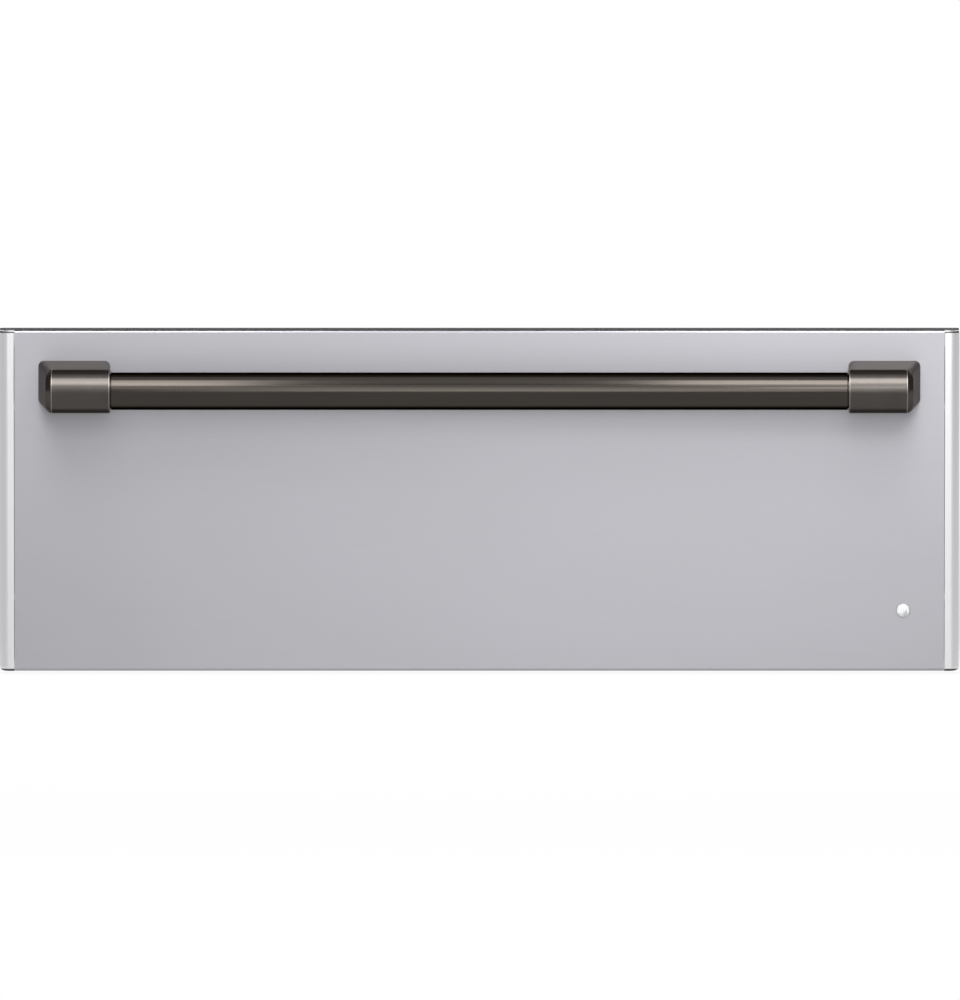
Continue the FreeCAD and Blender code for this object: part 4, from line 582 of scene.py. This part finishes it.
def makeFloor():
    # a wide plain floor, lifted to white for the eye, for metal and for glass alike, most of all before the front;
    # the share that isn't lifted keeps its shadows
    half = studio["floorHalf"]
    mesh = bpy.data.meshes.new("floor")
    mesh.from_pydata([(-half, -half, 0), (half, -half, 0), (half, half, 0), (-half, half, 0)], [], [(0, 1, 2, 3)])
    floor = bpy.data.objects.new("floor", mesh)
    bpy.context.scene.collection.objects.link(floor)
    material, tree, shader, place = newMaterial("paintedFloor", {"Roughness": 0.9, "IOR": 1.45})
    speckle = grained(tree, place, (120, 120, 120))
    ray = addNode(tree, "ShaderNodeLightPath").outputs
    seen = ray["Is Camera Ray"]
    for path in ("Is Glossy Ray", "Is Transmission Ray"):
        seen = addNode(tree, "ShaderNodeMath", {"operation": "MAXIMUM"}, {0: seen, 1: ray[path]}).outputs[0]
    paint = addNode(
        tree, "ShaderNodeMix", {"data_type": "RGBA", 7: linear(studio["seenColour"])},
        {0: seen, 6: tinted(tree, speckle, *studio["floorColours"])},
    ).outputs[2]
    tree.links.new(paint, shader.inputs["Base Color"])
    depth = addNode(tree, "ShaderNodeSeparateXYZ", None, {"Vector": place}).outputs["Y"]
    edge, reach = studio["frontEdge"], studio["reach"]
    front = addNode(
        tree, "ShaderNodeMapRange",
        {"From Min": edge[0], "From Max": edge[1], "To Min": studio["frontLift"], "To Max": 0.0}, {"Value": depth},
    ).outputs["Result"]
    distance = addNode(tree, "ShaderNodeVectorMath", {"operation": "LENGTH"}, {0: place}).outputs["Value"]
    rise = addNode(
        tree, "ShaderNodeMapRange",
        {"From Min": reach[0], "From Max": reach[1], "To Min": studio["lift"], "To Max": 1.0}, {"Value": distance},
    ).outputs["Result"]
    rise = addNode(tree, "ShaderNodeMath", {"operation": "MAXIMUM"}, {0: rise, 1: front}).outputs[0]
    share = addNode(tree, "ShaderNodeMath", {"operation": "MULTIPLY"}, {0: seen, 1: rise}).outputs[0]
    white = addNode(tree, "ShaderNodeEmission", {"Strength": 1.0}).outputs["Emission"]
    mixed = addNode(tree, "ShaderNodeMixShader", None, {0: share, 1: shader.outputs["BSDF"], 2: white})
    output = next(node for node in tree.nodes if node.type == "OUTPUT_MATERIAL")
    tree.links.new(mixed.outputs["Shader"], output.inputs["Surface"])
    mesh.materials.append(material)


handleMiddle = (0, -0.318, 0.227)
lamps = {
    # a wide soft sky from almost overhead
    "sky": {"kind": "SUN", "energy": 0.55, "angle": 50, "from": (0.0, -0.35, 1.2)},
    # a deep softbox in front, from 16 to 40 degrees above the bar, and a second one on its lower part
    "upper": {
        "kind": "AREA", "energy": 14.5, "size": (2.4, 1.49),
        "place": (0, -3.018, 1.747), "at": handleMiddle,
    },
    "middle": {
        "kind": "AREA", "energy": 5.4, "size": (2.4, 0.543),
        "place": (0, -3.018, 1.273), "at": handleMiddle,
    },
    # a narrow column of boxes below them, which lights the middle of the bar and of the front
    "columnTop": {
        "kind": "AREA", "energy": 3.05, "size": (0.7, 0.395),
        "place": (0.08, -3.018, 0.804), "at": handleMiddle,
    },
    "column": {
        "kind": "AREA", "energy": 3.22, "size": (0.7, 0.332),
        "place": (0.08, -3.018, 0.44), "at": handleMiddle,
    },
    # boxes high and close before each end of the bar, which draw the highlights there
    "leftTop": {
        "kind": "AREA", "energy": 4.84, "size": (0.45, 0.5),
        "place": (-0.42, -0.85, 1.1), "at": (-0.38, -0.268, 0.2),
    },
    "rightTop": {
        "kind": "AREA", "energy": 6.07, "size": (0.45, 0.5),
        "place": (0.38, -0.85, 1.1), "at": (0.38, -0.268, 0.2),
    },
    "leftHigh": {
        "kind": "AREA", "energy": 2.14, "size": (0.45, 0.25),
        "place": (-0.42, -0.95, 0.8), "at": (-0.35, -0.268, 0.2),
    },
    "rightHigh": {
        "kind": "AREA", "energy": 0.978, "size": (0.45, 0.25),
        "place": (0.38, -0.95, 0.8), "at": (0.35, -0.268, 0.2),
    },
    "rightLow": {
        "kind": "AREA", "energy": 1.38, "size": (0.45, 0.25),
        "place": (0.46, -1.2, 0.62), "at": (0.35, -0.268, 0.2),
    },
}


def makeLamps():
    for name, lamp in lamps.items():
        data = bpy.data.lights.new(name, lamp["kind"])
        data.energy = lamp["energy"]
        light = bpy.data.objects.new(name, data)
        bpy.context.scene.collection.objects.link(light)
        if lamp["kind"] == "SUN":
            data.angle = math.radians(lamp["angle"])
            aim = -Vector(lamp["from"])
        else:
            data.shape = "RECTANGLE"
            data.size, data.size_y = lamp["size"]
            light.location = lamp["place"]
            aim = Vector(lamp["at"]) - light.location
        light.rotation_euler = aim.to_track_quat("-Z", "Y").to_euler()
        light.visible_camera = False


def makeWorld():
    world = bpy.data.worlds.new("studioAir")
    bpy.context.scene.world = world
    world.use_nodes = True
    air = world.node_tree.nodes["Background"]
    air.inputs["Color"].default_value = linear(studio["worldGrey"])
    air.inputs["Strength"].default_value = studio["worldStrength"]


view = {"lens": 549.0, "distance": 12.0014, "elevation": 3.3, "target": (0.0005, -0.2681, 0.1378)}


def makeCamera():
    camera = bpy.data.cameras.new("camera")
    camera.lens = view["lens"]
    camera.sensor_width = 36.0
    camera.clip_end = 200.0
    seat = bpy.data.objects.new("camera", camera)
    bpy.context.scene.collection.objects.link(seat)
    rise = math.radians(view["elevation"])
    back = Vector((0, -math.cos(rise), math.sin(rise)))
    seat.location = Vector(view["target"]) + back * view["distance"]
    seat.rotation_euler = (-back).to_track_quat("-Z", "Y").to_euler()
    bpy.context.scene.camera = seat


makeFloor()
makeLamps()
makeWorld()
makeCamera()
bpy.context.scene.view_settings.view_transform = "Standard"
print("studio made")
